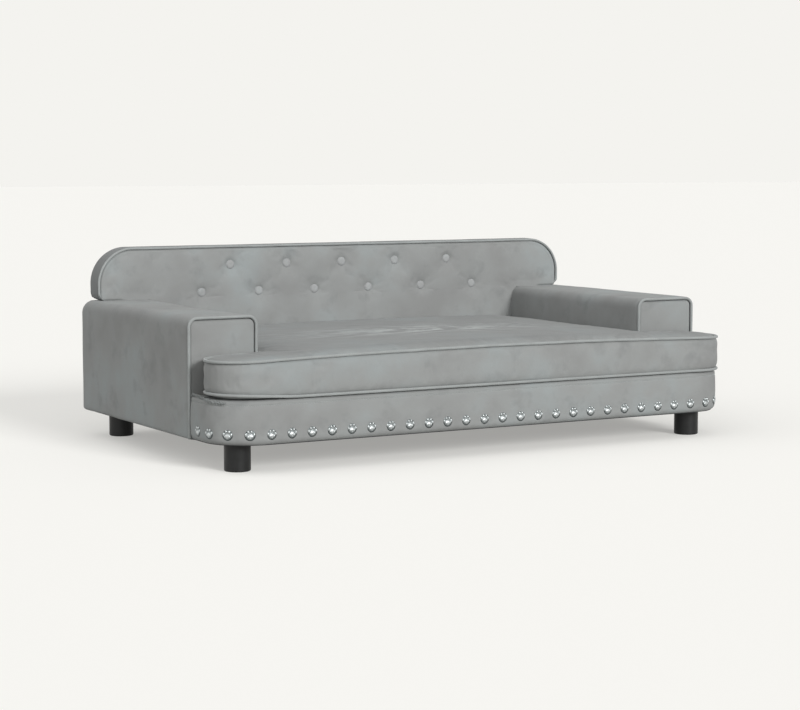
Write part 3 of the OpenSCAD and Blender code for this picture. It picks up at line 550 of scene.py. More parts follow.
def plug(tree: Tree, node: Node, **inputs: object) -> None:
    """Links or sets a node's inputs.

    Args:
        tree: the node tree that holds the node.
        node: the node.
        **inputs: sockets by name with spaces as underscores, or by number after "i", each a
            socket to link from or a value to set.
    """
    for key, value in inputs.items():
        numbered = key[0] == "i" and key[1:].isdigit()
        socket = node.inputs[int(key[1:]) if numbered else key.replace("_", " ")]
        if isinstance(value, Socket):
            tree.links.new(value, socket)
        else:
            socket.default_value = value


def add_node(
    tree: Tree,
    kind: str,
    settings: dict[str, str] | None = None,
    stops: Sequence[tuple[float, str]] = (),
    **inputs: object,
) -> Outputs:
    """Adds a node with its settings and links.

    Args:
        tree: the node tree.
        kind: the node's type, without the words that every shader node's type starts with.
        settings: the node's own properties by name.
        stops: the places and the hex colours of a colour ramp.
        **inputs: as for plug.

    Returns:
        The node's outputs.
    """
    node = tree.nodes.new(f"ShaderNode{kind}")
    for key, value in (settings or {}).items():
        setattr(node, key, value)
    if stops:
        elements = node.color_ramp.elements
        while len(elements) < len(stops):
            elements.new(0.5)
        for element, (position, code) in zip(elements, stops):
            element.position = position
            element.color = linear(code)
    plug(tree, node, **inputs)
    return node.outputs


def new_material(name: str) -> tuple[Material, Callable[..., Outputs]]:
    """Starts a material and returns it, with add_node for its tree.

    Args:
        name: its name.

    Returns:
        The material, and add_node for its tree.
    """
    material = bpy.data.materials.new(name)
    material.use_nodes = True
    return material, partial(add_node, material.node_tree)


def finish(material: Material, **inputs: object) -> Material:
    """Links or sets the inputs of a material's shader, as plug does, and returns the material.

    Args:
        material: the material.
        **inputs: as for plug.

    Returns:
        The same material.
    """
    plug(material.node_tree, material.node_tree.nodes["Principled BSDF"], **inputs)
    return material


@dataclass(frozen=True)
class Velvet:
    """Short-pile polyester velvet, brushed by handling.

    The pile leans one way in one patch and another way in the next, so the cloth is cloudy: paler
    where it leans to the light, darker where it leans away. It glows softly at grazing angles.
    """

    name: str = "velvet short pile grey"
    warm: str = "#808180"
    middle: str = "#878988"
    cool: str = "#8b9090"
    patch_mm: float = 120.0
    stroke_mm: float = 38.0
    smudge_mm: float = 36.0
    streak_mm: float = 19.0
    pile_mm: float = 0.9
    # A darker grey, used for the random smudges and as painted shade where the shade attribute is set.
    away: str = "#747676"
    roughed: str = "#a9adac"
    glow: str = "#eceeee"

    def build(self) -> Material:
        """Makes the material: noise of five sizes for the colour and two for the bump.

        Where the mesh has the attribute nap, the pile is roughed up in long pale streaks along X.
        A second attribute holds painted shade: where it is set, the colour is darkened towards the away
        colour.

        Returns:
            The material.
        """
        material, add = new_material(self.name)
        at = add("TexCoord")["Object"]
        leaning = add("Mapping", Vector=at, Rotation=(0.4, 0.2, 0.5), Scale=(1.0, 1.5, 1.2))[0]
        drawn = add("Mapping", Vector=at, Rotation=(0.0, 0.0, 0.06), Scale=(0.3, 1.0, 1.0))[0]
        patch = add("TexNoise", Vector=at, Scale=per_mm(self.patch_mm), Detail=2.0, Roughness=0.5)[0]
        stroke = add("TexNoise", Vector=leaning, Scale=per_mm(self.stroke_mm), Detail=3.0, Roughness=0.55)[0]
        pile = add("TexNoise", Vector=at, Scale=per_mm(self.pile_mm), Detail=2.0, Roughness=0.7)[0]
        smudge = add("TexNoise", Vector=at, Scale=per_mm(self.smudge_mm), Detail=3.0, Roughness=0.6)[0]
        streak = add("TexNoise", Vector=drawn, Scale=per_mm(self.streak_mm), Detail=4.0, Roughness=0.66)[0]
        brushed = add("Mix", FLOAT, i0=0.3, i2=patch, i3=stroke)[0]
        mixed = add("Mix", FLOAT, i0=0.1, i2=brushed, i3=pile)[0]
        stops = ((0.37, self.warm), (0.5, self.middle), (0.63, self.cool))
        colour = add("ValToRGB", None, stops, Fac=mixed)["Color"]
        # Painted shade: the colour is mixed towards the away colour as far as the shade attribute says.
        laid = add("Attribute", {"attribute_name": "laid"})["Fac"]
        colour = add("Mix", COLOUR, i0=laid, i6=colour, i7=linear(self.away))[2]
        smudged = add("MapRange", Value=smudge, i1=0.56, i2=0.74, i3=0.0, i4=0.5)[0]
        colour = add("Mix", COLOUR, i0=smudged, i6=colour, i7=linear(self.away))[2]
        streaked = add("MapRange", Value=streak, i1=0.46, i2=0.6, i3=0.0, i4=1.0)[0]
        nap = add("Attribute", {"attribute_name": "nap"})["Fac"]
        roughed = add("Math", TIMES, i0=streaked, i1=nap)[0]
        low = add("Bump", Strength=0.25, Distance=1.0 * MM, Height=stroke)["Normal"]
        return finish(
            material,
            Base_Color=add("Mix", COLOUR, i0=roughed, i6=colour, i7=linear(self.roughed))[2],
            Roughness=add("MapRange", Value=stroke, i1=0.3, i2=0.7, i3=0.74, i4=0.9)[0],
            Normal=add("Bump", Strength=0.25, Distance=0.3 * MM, Height=pile, Normal=low)["Normal"],
            Specular_IOR_Level=0.2,
            Sheen_Weight=0.1,
            Sheen_Roughness=0.4,
            Sheen_Tint=linear(self.glow),
        )


@dataclass(frozen=True)
class PipingCloth:
    """The same velvet cut on the bias and sewn round a cord.

    It is paler than the flat cloth, as painted highlight along the cord, with faint slanting lines
    where the bias-cut weave lets the cord's lay show.
    """

    name: str = "velvet piping cut on the bias"
    # Together these give a colour paler than the flat velvet: painted highlight.
    dark: str = "#848786"
    light: str = "#949897"
    glow: str = "#eef1f1"
    lay_mm: float = 2.0
    patch_mm: float = 26.0
    pile_mm: float = 0.9

    def build(self) -> Material:
        """Makes the material: slanting bands on the UV map, and the pile's noise.

        Returns:
            The material.
        """
        material, add = new_material(self.name)
        places = add("TexCoord")
        at, lay = places["Object"], 0.314 * per_mm(self.lay_mm)
        bands = add("TexWave", SLANTING, Vector=places["UV"], Scale=lay, Distortion=1.5, Detail=1.0)["Fac"]
        pile = add("TexNoise", Vector=at, Scale=per_mm(self.pile_mm), Detail=2.0, Roughness=0.7)[0]
        patch = add("TexNoise", Vector=at, Scale=per_mm(self.patch_mm), Detail=2.0, Roughness=0.5)[0]
        mixed = add("Mix", FLOAT, i0=0.35, i2=patch, i3=pile)[0]
        cloth = add("Mix", FLOAT, i0=0.1, i2=mixed, i3=bands)[0]
        low = add("Bump", Strength=0.12, Distance=0.2 * MM, Height=bands)["Normal"]
        return finish(
            material,
            Base_Color=add("ValToRGB", None, ((0.3, self.dark), (0.7, self.light)), Fac=cloth)["Color"],
            Normal=add("Bump", Strength=0.25, Distance=0.3 * MM, Height=pile, Normal=low)["Normal"],
            Roughness=0.82,
            Specular_IOR_Level=0.25,
            Sheen_Weight=0.3,
            Sheen_Roughness=0.4,
            Sheen_Tint=linear(self.glow),
        )


@dataclass(frozen=True)
class Thread:
    """Spun polyester sewing thread, a little paler than the velvet, with a fine twist."""

    name: str = "polyester thread grey"
    dark: str = "#7d8282"
    light: str = "#a1a6a5"
    twist_mm: float = 0.5

    def build(self) -> Material:
        """Makes the material: fine noise for the twist.

        Returns:
            The material.
        """
        material, add = new_material(self.name)
        at = add("TexCoord")["Object"]
        twist = add("TexNoise", Vector=at, Scale=per_mm(self.twist_mm), Detail=1.0, Roughness=0.5)[0]
        colour = add("ValToRGB", None, ((0.3, self.dark), (0.7, self.light)), Fac=twist)["Color"]
        return finish(material, Base_Color=colour, Roughness=0.6, Sheen_Weight=0.2)


@dataclass(frozen=True)
class MouldedPlastic:
    """Injection-moulded black polypropylene: satin, with a fine spark-eroded grain."""

    name: str = "polypropylene moulded black"
    colour: str = "#121313"
    dusty: str = "#1a1b1b"
    grain_mm: float = 0.7
    dust_mm: float = 14.0

    def build(self) -> Material:
        """Makes the material: grain in the bump, and faint dust in the colour and the gloss.

        Returns:
            The material.
        """
        material, add = new_material(self.name)
        at = add("TexCoord")["Object"]
        grain = add("TexNoise", Vector=at, Scale=per_mm(self.grain_mm), Detail=2.0, Roughness=0.6)[0]
        dust = add("TexNoise", Vector=at, Scale=per_mm(self.dust_mm), Detail=4.0, Roughness=0.65)[0]
        return finish(
            material,
            Base_Color=add("ValToRGB", None, ((0.35, self.colour), (0.75, self.dusty)), Fac=dust)["Color"],
            Roughness=add("MapRange", Value=dust, i1=0.3, i2=0.7, i3=0.36, i4=0.5)[0],
            Normal=add("Bump", Strength=0.25, Distance=0.1 * MM, Height=grain)["Normal"],
            IOR=1.49,
            Specular_IOR_Level=0.3,
        )


@dataclass(frozen=True)
class AntiqueNickel:
    """Pressed studs in antique nickel: patina darkens the hollows between the paw's parts, the raised paw is
    worn bright, and the dark at the rim is painted shade.
    """

    name: str = "nickel plate antique"
    # Patina between the paw's parts; at the rim this dark is painted shade.
    patina_and_painted_rim_shade: str = "#454a4b"
    worn: str = "#959a9b"
    bright: str = "#bcc0c1"
    roughness: float = 0.42
    patch_mm: float = 5.0

    def build(self) -> Material:
        """Makes the material: an attribute gives the colour, bright on the paw, darker between its parts and
        darkest at the rim, where it is painted shade.

        Returns:
            The material.
        """
        material, add = new_material(self.name)
        at = add("TexCoord")["Object"]
        raised = add("Attribute", {"attribute_name": "tone"})["Fac"]
        stops = ((0.0, self.patina_and_painted_rim_shade), (0.45, self.worn), (1.0, self.bright))
        patch = add("TexNoise", Vector=at, Scale=per_mm(self.patch_mm), Detail=3.0, Roughness=0.6)[0]
        dull, shiny = self.roughness * 1.2, self.roughness * 0.85
        return finish(
            material,
            Base_Color=add("ValToRGB", None, stops, Fac=raised)["Color"],
            Roughness=add("MapRange", Value=patch, i1=0.3, i2=0.7, i3=dull, i4=shiny)[0],
            Metallic=1.0,
        )


@dataclass(frozen=True)
class DullZinc:
    """Zinc-plated steel: the screws, bolts, nails, staples and the zip's slider."""

    name: str = "zinc plate dull"
    low: str = "#9a9ea2"
    high: str = "#c0c3c6"
    roughness: float = 0.42
    patch_mm: float = 3.0

    def build(self) -> Material:
        """Makes the material: patches of tarnish, and shallow dents.

        Returns:
            The material.
        """
        material, add = new_material(self.name)
        at = add("TexCoord")["Object"]
        patch = add("TexNoise", Vector=at, Scale=per_mm(self.patch_mm), Detail=3.0, Roughness=0.6)[0]
        dull, shiny = self.roughness * 1.3, self.roughness * 0.8
        return finish(
            material,
            Base_Color=add("ValToRGB", None, ((0.3, self.low), (0.7, self.high)), Fac=patch)["Color"],
            Roughness=add("MapRange", Value=patch, i1=0.3, i2=0.7, i3=dull, i4=shiny)[0],
            Normal=add("Bump", Strength=0.3, Distance=0.2 * MM, Height=patch)["Normal"],
            Metallic=1.0,
        )


@dataclass(frozen=True)
class SawnWood:
    """Raw wood: long grain along one axis, with paler and darker bands.

    Rotary-cut birch plywood has wide soft figure, sawn pine has narrow rings and saw marks.
    """

    name: str
    pale: str
    dark: str
    along: tuple[float, float, float]
    ring_mm: float

    def build(self) -> Material:
        """Makes the material: stretched noise for the grain, and its fibres in the bump.

        Returns:
            The material.
        """
        material, add = new_material(self.name)
        drawn = add("Mapping", Vector=add("TexCoord")["Object"], Scale=self.along)[0]
        ring = add("TexNoise", Vector=drawn, Scale=per_mm(self.ring_mm), Detail=5.0, Roughness=0.6)[0]
        fibre = add("TexNoise", Vector=drawn, Scale=per_mm(self.ring_mm / 6), Detail=2.0, Roughness=0.6)[0]
        grain = add("Mix", FLOAT, i0=0.3, i2=ring, i3=fibre)[0]
        return finish(
            material,
            Base_Color=add("ValToRGB", None, ((0.35, self.dark), (0.62, self.pale)), Fac=grain)["Color"],
            Normal=add("Bump", Strength=0.4, Distance=0.3 * MM, Height=grain)["Normal"],
            Roughness=0.75,
        )


@dataclass(frozen=True)
class SpunBonded:
    """Spun-bonded polypropylene cloth: black, thin, with a grid of small heat-sealed dots."""

    name: str = "non-woven cloth black"
    dark: str = "#1f2022"
    pale: str = "#35373a"
    dot_mm: float = 2.2
    fibre_mm: float = 1.2

    def build(self) -> Material:
        """Makes the material: cells for the sealed dots over a noise of fibres.

        Returns:
            The material.
        """
        material, add = new_material(self.name)
        at, cells = add("TexCoord")["Object"], {"feature": "F1"}
        dots = add("TexVoronoi", cells, Vector=at, Scale=per_mm(self.dot_mm), Randomness=0.15)["Distance"]
        fibre = add("TexNoise", Vector=at, Scale=per_mm(self.fibre_mm), Detail=3.0, Roughness=0.7)[0]
        return finish(
            material,
            Base_Color=add("ValToRGB", None, ((0.3, self.dark), (0.7, self.pale)), Fac=fibre)["Color"],
            Roughness=add("MapRange", Value=dots, i1=0.1, i2=0.4, i3=0.45, i4=0.8)[0],
            Normal=add("Bump", Strength=0.5, Distance=0.3 * MM, Height=dots)["Normal"],
            Sheen_Weight=0.15,
        )


@dataclass(frozen=True)
class WovenTape:
    """Herringbone polyester tape of a zip, dyed grey."""

    name: str = "woven zip tape grey"
    dark: str = "#5d6263"
    light: str = "#7b8081"
    lay_mm: float = 0.9

    def build(self) -> Material:
        """Makes the material: slanting bands for the herringbone.

        Returns:
            The material.
        """
        material, add = new_material(self.name)
        at, lay = add("TexCoord")["Object"], 0.314 * per_mm(self.lay_mm)
        weave = add("TexWave", SLANTING, Vector=at, Scale=lay, Distortion=0.6)["Fac"]
        return finish(
            material,
            Base_Color=add("ValToRGB", None, ((0.2, self.dark), (0.8, self.light)), Fac=weave)["Color"],
            Normal=add("Bump", Strength=0.5, Distance=0.2 * MM, Height=weave)["Normal"],
            Roughness=0.8,
        )


# Painted highlight: a paler copy of the velvet for the buttons, so that their domes read as lit.
BUTTON_PAINTED_HIGHLIGHT = Velvet("velvet over buttons painted pale", "#8f9090", "#949696", "#989c9c", 20.0, 6.0)
PLYWOOD = SawnWood("birch plywood raw", "#e0c9a2", "#c39f6c", (0.12, 1.0, 1.6), 9.0)
PINE = SawnWood("pine sawn", "#dcbd8a", "#b48550", (0.08, 1.0, 1.0), 6.0)


@dataclass
class Finishes:
    """Every material of the sofa, built once."""

    velvet: Material = field(default_factory=Velvet().build)
    piping: Material = field(default_factory=PipingCloth().build)
    painted_highlight: Material = field(default_factory=BUTTON_PAINTED_HIGHLIGHT.build)
    thread: Material = field(default_factory=Thread().build)
    plastic: Material = field(default_factory=MouldedPlastic().build)
    nickel: Material = field(default_factory=AntiqueNickel().build)
    zinc: Material = field(default_factory=DullZinc().build)
    plywood: Material = field(default_factory=PLYWOOD.build)
    pine: Material = field(default_factory=PINE.build)
    nonwoven: Material = field(default_factory=SpunBonded().build)
    tape: Material = field(default_factory=WovenTape().build)


@dataclass(frozen=True)
class Dress:
    """How a finished piece belongs to the sofa.

    Attributes:
        body: the body that it rides on.
        slot: the name of its material slot; not used.
        stands_for: the CAD nodes that it replaces.
        fill: how full it is padded, or nothing for a piece without padding; not used.
    """

    body: Body
    slot: str
    stands_for: tuple[str, ...] = ()
    fill: float | None = None

    def put_on(self, obj: Piece, material: Material) -> Piece:
        """Gives the piece its material, hangs it on its body, hides the CAD nodes that it stands for, and
        logs it.

        Args:
            obj: the piece.
            material: its finish.

        Returns:
            The same piece.
        """
        obj.data.materials.clear()
        obj.data.materials.append(material)
        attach(obj, self.body.value)
        if self.stands_for:
            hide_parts(*self.stands_for)
        LOG.info("%s: %d faces, %s", obj.name, len(obj.data.polygons), material.name)
        return obj


# The sofa's measures that several pieces share


@dataclass(frozen=True)
class Measures:
    """Places in the CAD model's frame, in millimetres, repeated from the part's source."""

    front_y: float = -265.0
    back_y: float = 265.0
    top_z: float = 298.0
    rail_x: float = 443.5
    rail_y: float = -261.5
    rail_end_y: float = -156.8
    rail_r: float = 68.0
    base_z: float = 41.0
    base_top_z: float = 104.0
    arm_out_x: float = 447.0
    arm_in_x: float = 337.0
    arm_front_y: float = -151.0
    arm_top_z: float = 215.0
    over_z: float = 215.5
    back_x: float = 434.0
    face_y: float = 219.6
    piping_r: float = 2.75
    cloth: float = 1.4

    def rail(self) -> Outline:
        """The front rail's path, from its left end round both corners to its right end."""
        x, y, end = self.rail_x, self.rail_y, self.rail_end_y
        corners = ((-x, end, 0), (-x, y, self.rail_r), (x, y, self.rail_r), (x, end, 0))
        return Outline(corners, 3.0, False)


@dataclass
class Base:
    """The padded front rail with its seam, studs and dust cover."""

    m: Measures
    finishes: Finishes
    stud_z: float = 56.0
    stud_pitch: float = 31.7
    stud_count: int = 32
    stud_shift: float = -4.0
    stud_r: float = 7.75
    puff: float = 1.3
    seam_z: float = 97.0
    stitch_pitch: float = 2.6
    frayed_run: float = 84.0
    frayed_threads: int = 420
    dust_in: float = 5.0
    deck_in: float = 26.5
    deck_back_y: float = 251.0
    staple_in: float = 9.0

    def walk(self) -> tuple[Callable[[Array], Array], Callable[[Array], Array], float]:
        """Follows the rail by distance from its middle.

        Returns:
            The point and the outward normal at given distances, and half the path's length.
        """
        path = self.m.rail()
        flat, out = path.ring()
        along = path.length_along()
        half = along[-1] / 2

        def point(s: Array) -> Array:
            """The points of the path at distances from its middle."""
            return np.stack([np.interp(s + half, along, flat[:, k]) for k in (0, 1)], -1)

        def normal(s: Array) -> Array:
            """The path's outward normals at distances from its middle."""
            n = np.stack([np.interp(s + half, along, out[:, k]) for k in (0, 1)], -1)
            return n / np.linalg.norm(n, axis=-1, keepdims=True)

        return point, normal, half

    def stud_places(self) -> Array:
        """Distances of the studs from the rail's middle."""
        return (np.arange(self.stud_count) - (self.stud_count - 1) / 2) * self.stud_pitch + self.stud_shift

    def build_cover(self) -> None:
        """The velvet of the rail: a profile swept along its path.

        The cloth stands out by the puff, but not at its edges nor where a stud holds it down:
        puff times a half sine up the face times one minus the studs' bells, plus soft noise.
        """
        top, low = self.m.base_top_z, self.m.base_z
        hem = ((16.5, 0.0), (11.0, 0.0), (8.0, 0.0), (5.6, 0.4), (3.8, 1.2), (2.3, 2.4))
        hem += ((1.2, 4.0), (0.4, 6.0), (0.0, 8.5))
        seam = ((0.0, -3.4), (0.05, -2.0), (0.2, -1.0), (0.45, -0.2), (0.15, 0.6), (0.0, 1.4))
        round_r, turn = 5.0, np.radians(np.linspace(10, 90, 7))
        profile = [(inset, low + rise) for inset, rise in hem]
        profile += [(0.0, z) for z in np.arange(low + 10.5, top - 11.5, 2.2)]
        profile += [(inset, self.seam_z + rise) for inset, rise in seam]
        profile += [(round_r * (1 - math.cos(a)), top - round_r * (1 - math.sin(a))) for a in turn]
        profile += [(9.0, top), (16.0, top), (self.deck_in, top - 0.1)]
        path = self.m.rail()
        points = path.sweep(profile)
        _, out = path.ring()
        s = path.length_along() - path.length_along()[-1] / 2
        z = points[..., 2]
        up = np.clip((z - low) / (self.seam_z - low), 0, 1)
        gap = np.stack([np.hypot(s - p, z - self.stud_z) for p in self.stud_places()])
        free = 1 - bump(gap.min(axis=0), 10.0)
        lift = self.puff * np.sin(math.pi * up) ** 0.6 * free
        lift += 0.5 * cloud(points, (46, 46, 30), 3) * np.sin(math.pi * up) * free
        lift += 0.16 * cloud(xyz(s, z, 0), (7, 14, 1), 4) * bump(z - self.seam_z + 3, 6)
        points[..., :2] += out * lift[..., None]
        obj = Surface("rail_velvet", points).build()
        solid(obj, self.m.cloth)
        Dress(Body.SOFA, "velvet", ("rail_cover", "rail_padding"), 0.8).put_on(obj, self.finishes.velvet)

    def build_seam(self) -> None:
        """The overlocked seam: slanting stitches side by side in the fold below the rail's top."""
        point, normal, half = self.walk()
        s = np.arange(-half + 2, half - 2, self.stitch_pitch)
        n = normal(s)
        places = at_height(point(s) - n * 0.2, self.seam_z)
        places[:, 2] += 0.25 * cloud(places, 30.0, 8)
        way = xyz(-0.75 * n[:, 1], 0.75 * n[:, 0], 0.66)
        obj = strewn("rail_seam_stitches", capsule(3.0, 0.9, 0.9), places, frames(way, at_height(n, 0)))
        Dress(Body.SOFA, "velvet_piping", ("rail_seam",)).put_on(obj, self.finishes.thread)

    def build_overlock(self) -> None:
        """The fuzzy overlocked edge that works out of the rail's top beside the left arm.

        Threads lie at random over a strip that starts at the top by the arm and sinks into the
        seam beyond the corner.
        """
        point, normal, half = self.walk()
        chance = np.random.default_rng(17)
        run = np.sort(chance.uniform(1.0, self.frayed_run, self.frayed_threads))
        n = normal(run - half)
        height = self.seam_z + 2.4 + 6.4 * ease((88 - run) / 74) + chance.normal(0, 0.9, len(run))
        out = 0.9 + 1.2 * chance.random(len(run)) - 3.0 * ease((height - 100.5) / 4.0)
        places = at_height(point(run - half) + n * out[:, None], height)
        way = chance.normal(0, 1, (len(run), 3)) * (0.8, 0.8, 0.7)
        axes = frames(way, at_height(n, 0.3))
        obj = strewn("rail_overlock_threads", capsule(3.8, 0.9, 0.9, 3), places, axes)
        Dress(Body.SOFA, "velvet_piping").put_on(obj, self.finishes.piping)

    def paw(self, x: Array, y: Array) -> Array:
        """Height of the paw on a stud of radius one: the largest of its pad's and its toes' domes.

        Each dome has its place and radius across and up, and its height. The left half mirrors
        the right one.

        Args:
            x: places across the stud, as shares of its radius.
            y: places up the stud, as shares of its radius.

        Returns:
            The heights in millimetres.
        """
        pad = ((0.0, -0.14, 0.5, 0.42, 1.5), (0.36, -0.22, 0.26, 0.3, 1.4), (0.0, -0.52, 0.26, 0.2, 1.1))
        toes = ((0.76, 0.14, 0.2, 0.34, 1.3), (0.31, 0.67, 0.19, 0.27, 1.5))
        raised = np.zeros_like(x)
        for cx, cy, rx, ry, high in pad + toes:
            inside = 1 - np.square((np.abs(x) - cx) / rx) - np.square((y - cy) / ry)
            raised = np.maximum(raised, high * np.clip(inside, 0, 1) ** 0.55)
        return raised

    def worn_and_rim_shade(self, points: Array) -> Array:
        """How bright the plating is: most on the paw, where it is worn; some between its parts, where patina
        lies; none at the rim, which is painted dark as shade.

        Args:
            points: points of a stud, in millimetres.

        Returns:
            A value from 0 to 1 for each.
        """
        x, y = points[:, 0] / self.stud_r, points[:, 1] / self.stud_r
        return np.maximum(0.65 * self.paw(x, y), 0.3 * (1 - ease((np.hypot(x, y + 0.05) - 0.6) / 0.25)))

    def build_studs(self) -> None:
        """Nickel studs with a raised paw: a disc by radius and angle, a low dome plus the paw."""
        share = np.concatenate([[0.02], np.linspace(0.08, 0.94, 17), [0.98, 1.0, 1.0]])[:, None]
        turn = np.linspace(0, 2 * math.pi, 56, endpoint=False)[None, :]
        x, y = share * np.cos(turn), share * np.sin(turn)
        height = 1.0 - 0.75 * share**5 + self.paw(x, y)
        height[-1] = 0.0
        disc = xyz(x * self.stud_r, y * self.stud_r, height)
        shape = Surface("stud", disc, wrap_columns=True, cap_low=True, cap_high=True)
        point, normal, _ = self.walk()
        s = self.stud_places()
        n = at_height(normal(s), 0)
        axes = np.stack([xyz(-n[:, 1], n[:, 0], 0), np.broadcast_to(UP, n.shape), n], axis=1)
        tilt = 0.05 * np.sin(np.arange(self.stud_count) * 2.4)
        c, w = np.cos(tilt)[:, None], np.sin(tilt)[:, None]
        axes[:, 0], axes[:, 1] = c * axes[:, 0] + w * axes[:, 1], c * axes[:, 1] - w * axes[:, 0]
        # The tone attribute carries the wear, the patina and the painted shade at the rim.
        obj = strewn("paw_stud_heads", shape, at_height(point(s), self.stud_z), axes, self.worn_and_rim_shade)
        Dress(Body.SOFA, "silver_stud", ("paw_studs",)).put_on(obj, self.finishes.nickel)

    def lay(
        self, inset: float, wide: float, columns: int, front: Array, rear: Array
    ) -> tuple[Array, Array, Array]:
        """Lays a grid for a sheet: inside the round front of the base, and as a rectangle behind it.

        Args:
            inset: how far it stays inside the rail's path at the front.
            wide: half its width behind the rail.
            columns: how many columns it has.
            front: Y of its rows inside the rail.
            rear: Y of its rows behind the rail.

        Returns:
            X and Y of its points, and half the width of each row.
        """
        y = np.concatenate([front, rear])
        radius = self.m.rail_r - inset
        fall = np.clip(self.m.rail_y + self.m.rail_r - y, 0, radius)
        half = self.m.rail_x - self.m.rail_r + np.sqrt(radius**2 - fall**2)
        half[len(front) :] = wide
        x = np.linspace(-1, 1, columns) * half[:, None]
        return x, np.broadcast_to(y[:, None], x.shape), half

    def stretch(self, sheet: Surface, thickness: float, node: str) -> None:
        """Makes a sheet of non-woven cloth that is pulled taut and stapled.

        Args:
            sheet: its grid.
            thickness: the thickness of the cloth.
            node: the CAD node that it replaces.
        """
        obj = sheet.build()
        solid(obj, thickness)
        Dress(Body.SOFA, "black_nonwoven", (node,)).put_on(obj, self.finishes.nonwoven)

    def build_dust_cover(self) -> None:
        """The cloth under the base, which sags a little between its staples."""
        z, inset = self.m.base_z - 0.3, self.dust_in
        front = np.linspace(self.m.rail_y + inset, self.m.rail_end_y, 22)
        rear = np.linspace(self.m.arm_front_y, self.m.back_y - inset, 70)
        x, y, half = self.lay(inset, self.m.arm_out_x - inset, 150, front, rear)
        inside = np.minimum(np.minimum(half[:, None] - np.abs(x), y - front[0]), rear[-1] - y)
        sag = 0.5 * ease(inside / 60) + 0.35 * ease(inside / 20) * cloud(xyz(x, y, 0), (40, 60, 9), 5)
        sheet = Surface("dust_cloth", xyz(x, y, z - np.maximum(sag, 0)), flip=True)
        self.stretch(sheet, 0.3, "dust_cover")
        self.build_staples(half, y[:, 0], z)

    def build_staples(self, half: Array, y: Array, z: float) -> None:
        """Zinc staples along all edges of the dust cloth.

        Args:
            half: half the width of each row of the cloth.
            y: Y of each row.
            z: the height of the cloth's edges.
        """
        sides = np.arange(-100.0, 250.0, 38.0)
        inner = np.interp(sides, y, half) - self.staple_in
        rear = (np.arange(-410.0, 411.0, 41.0), y[-1] - self.staple_in)
        front = (np.arange(-340.0, 341.0, 40.0), y[0] + self.staple_in + 1)
        rows = ((inner, sides), (-inner, sides), rear, front)
        places = np.concatenate([xyz(*row, z - 0.35) for row in rows])
        beside = (np.abs(places[:, 0]) > 400) & (np.abs(places[:, 1]) < 245)
        angle = 0.5 * cloud(places, 11.0, 9) + math.pi / 2 * beside
        axes = frames(xyz(np.cos(angle), np.sin(angle), 0), UP)
        obj = strewn("dust_cloth_staples", capsule(11.0, 1.2, 0.7), places, axes)
        Dress(Body.SOFA, "steel").put_on(obj, self.finishes.zinc)

    def build_deck_cloth(self) -> None:
        """The cloth under the cushion: a T-shaped grid with faint waves of noise."""
        front = np.linspace(self.m.rail_y + self.deck_in, self.m.arm_front_y - 0.5, 16)
        rear = np.linspace(self.m.arm_front_y, self.deck_back_y, 60)
        x, y, half = self.lay(self.deck_in, self.m.arm_in_x, 130, front, rear)
        wave = 0.12 * cloud(xyz(x, y, 0), (30, 45, 9), 12)
        sheet = Surface("deck_sheet", xyz(x, y, self.m.base_top_z - 0.5 + wave))
        self.stretch(sheet, 0.8, "deck_cloth")

    def build(self) -> None:
        """Makes every piece of the base."""
        self.build_cover()
        self.build_seam()
        self.build_overlock()
        self.build_studs()
        self.build_dust_cover()
        self.build_deck_cloth()


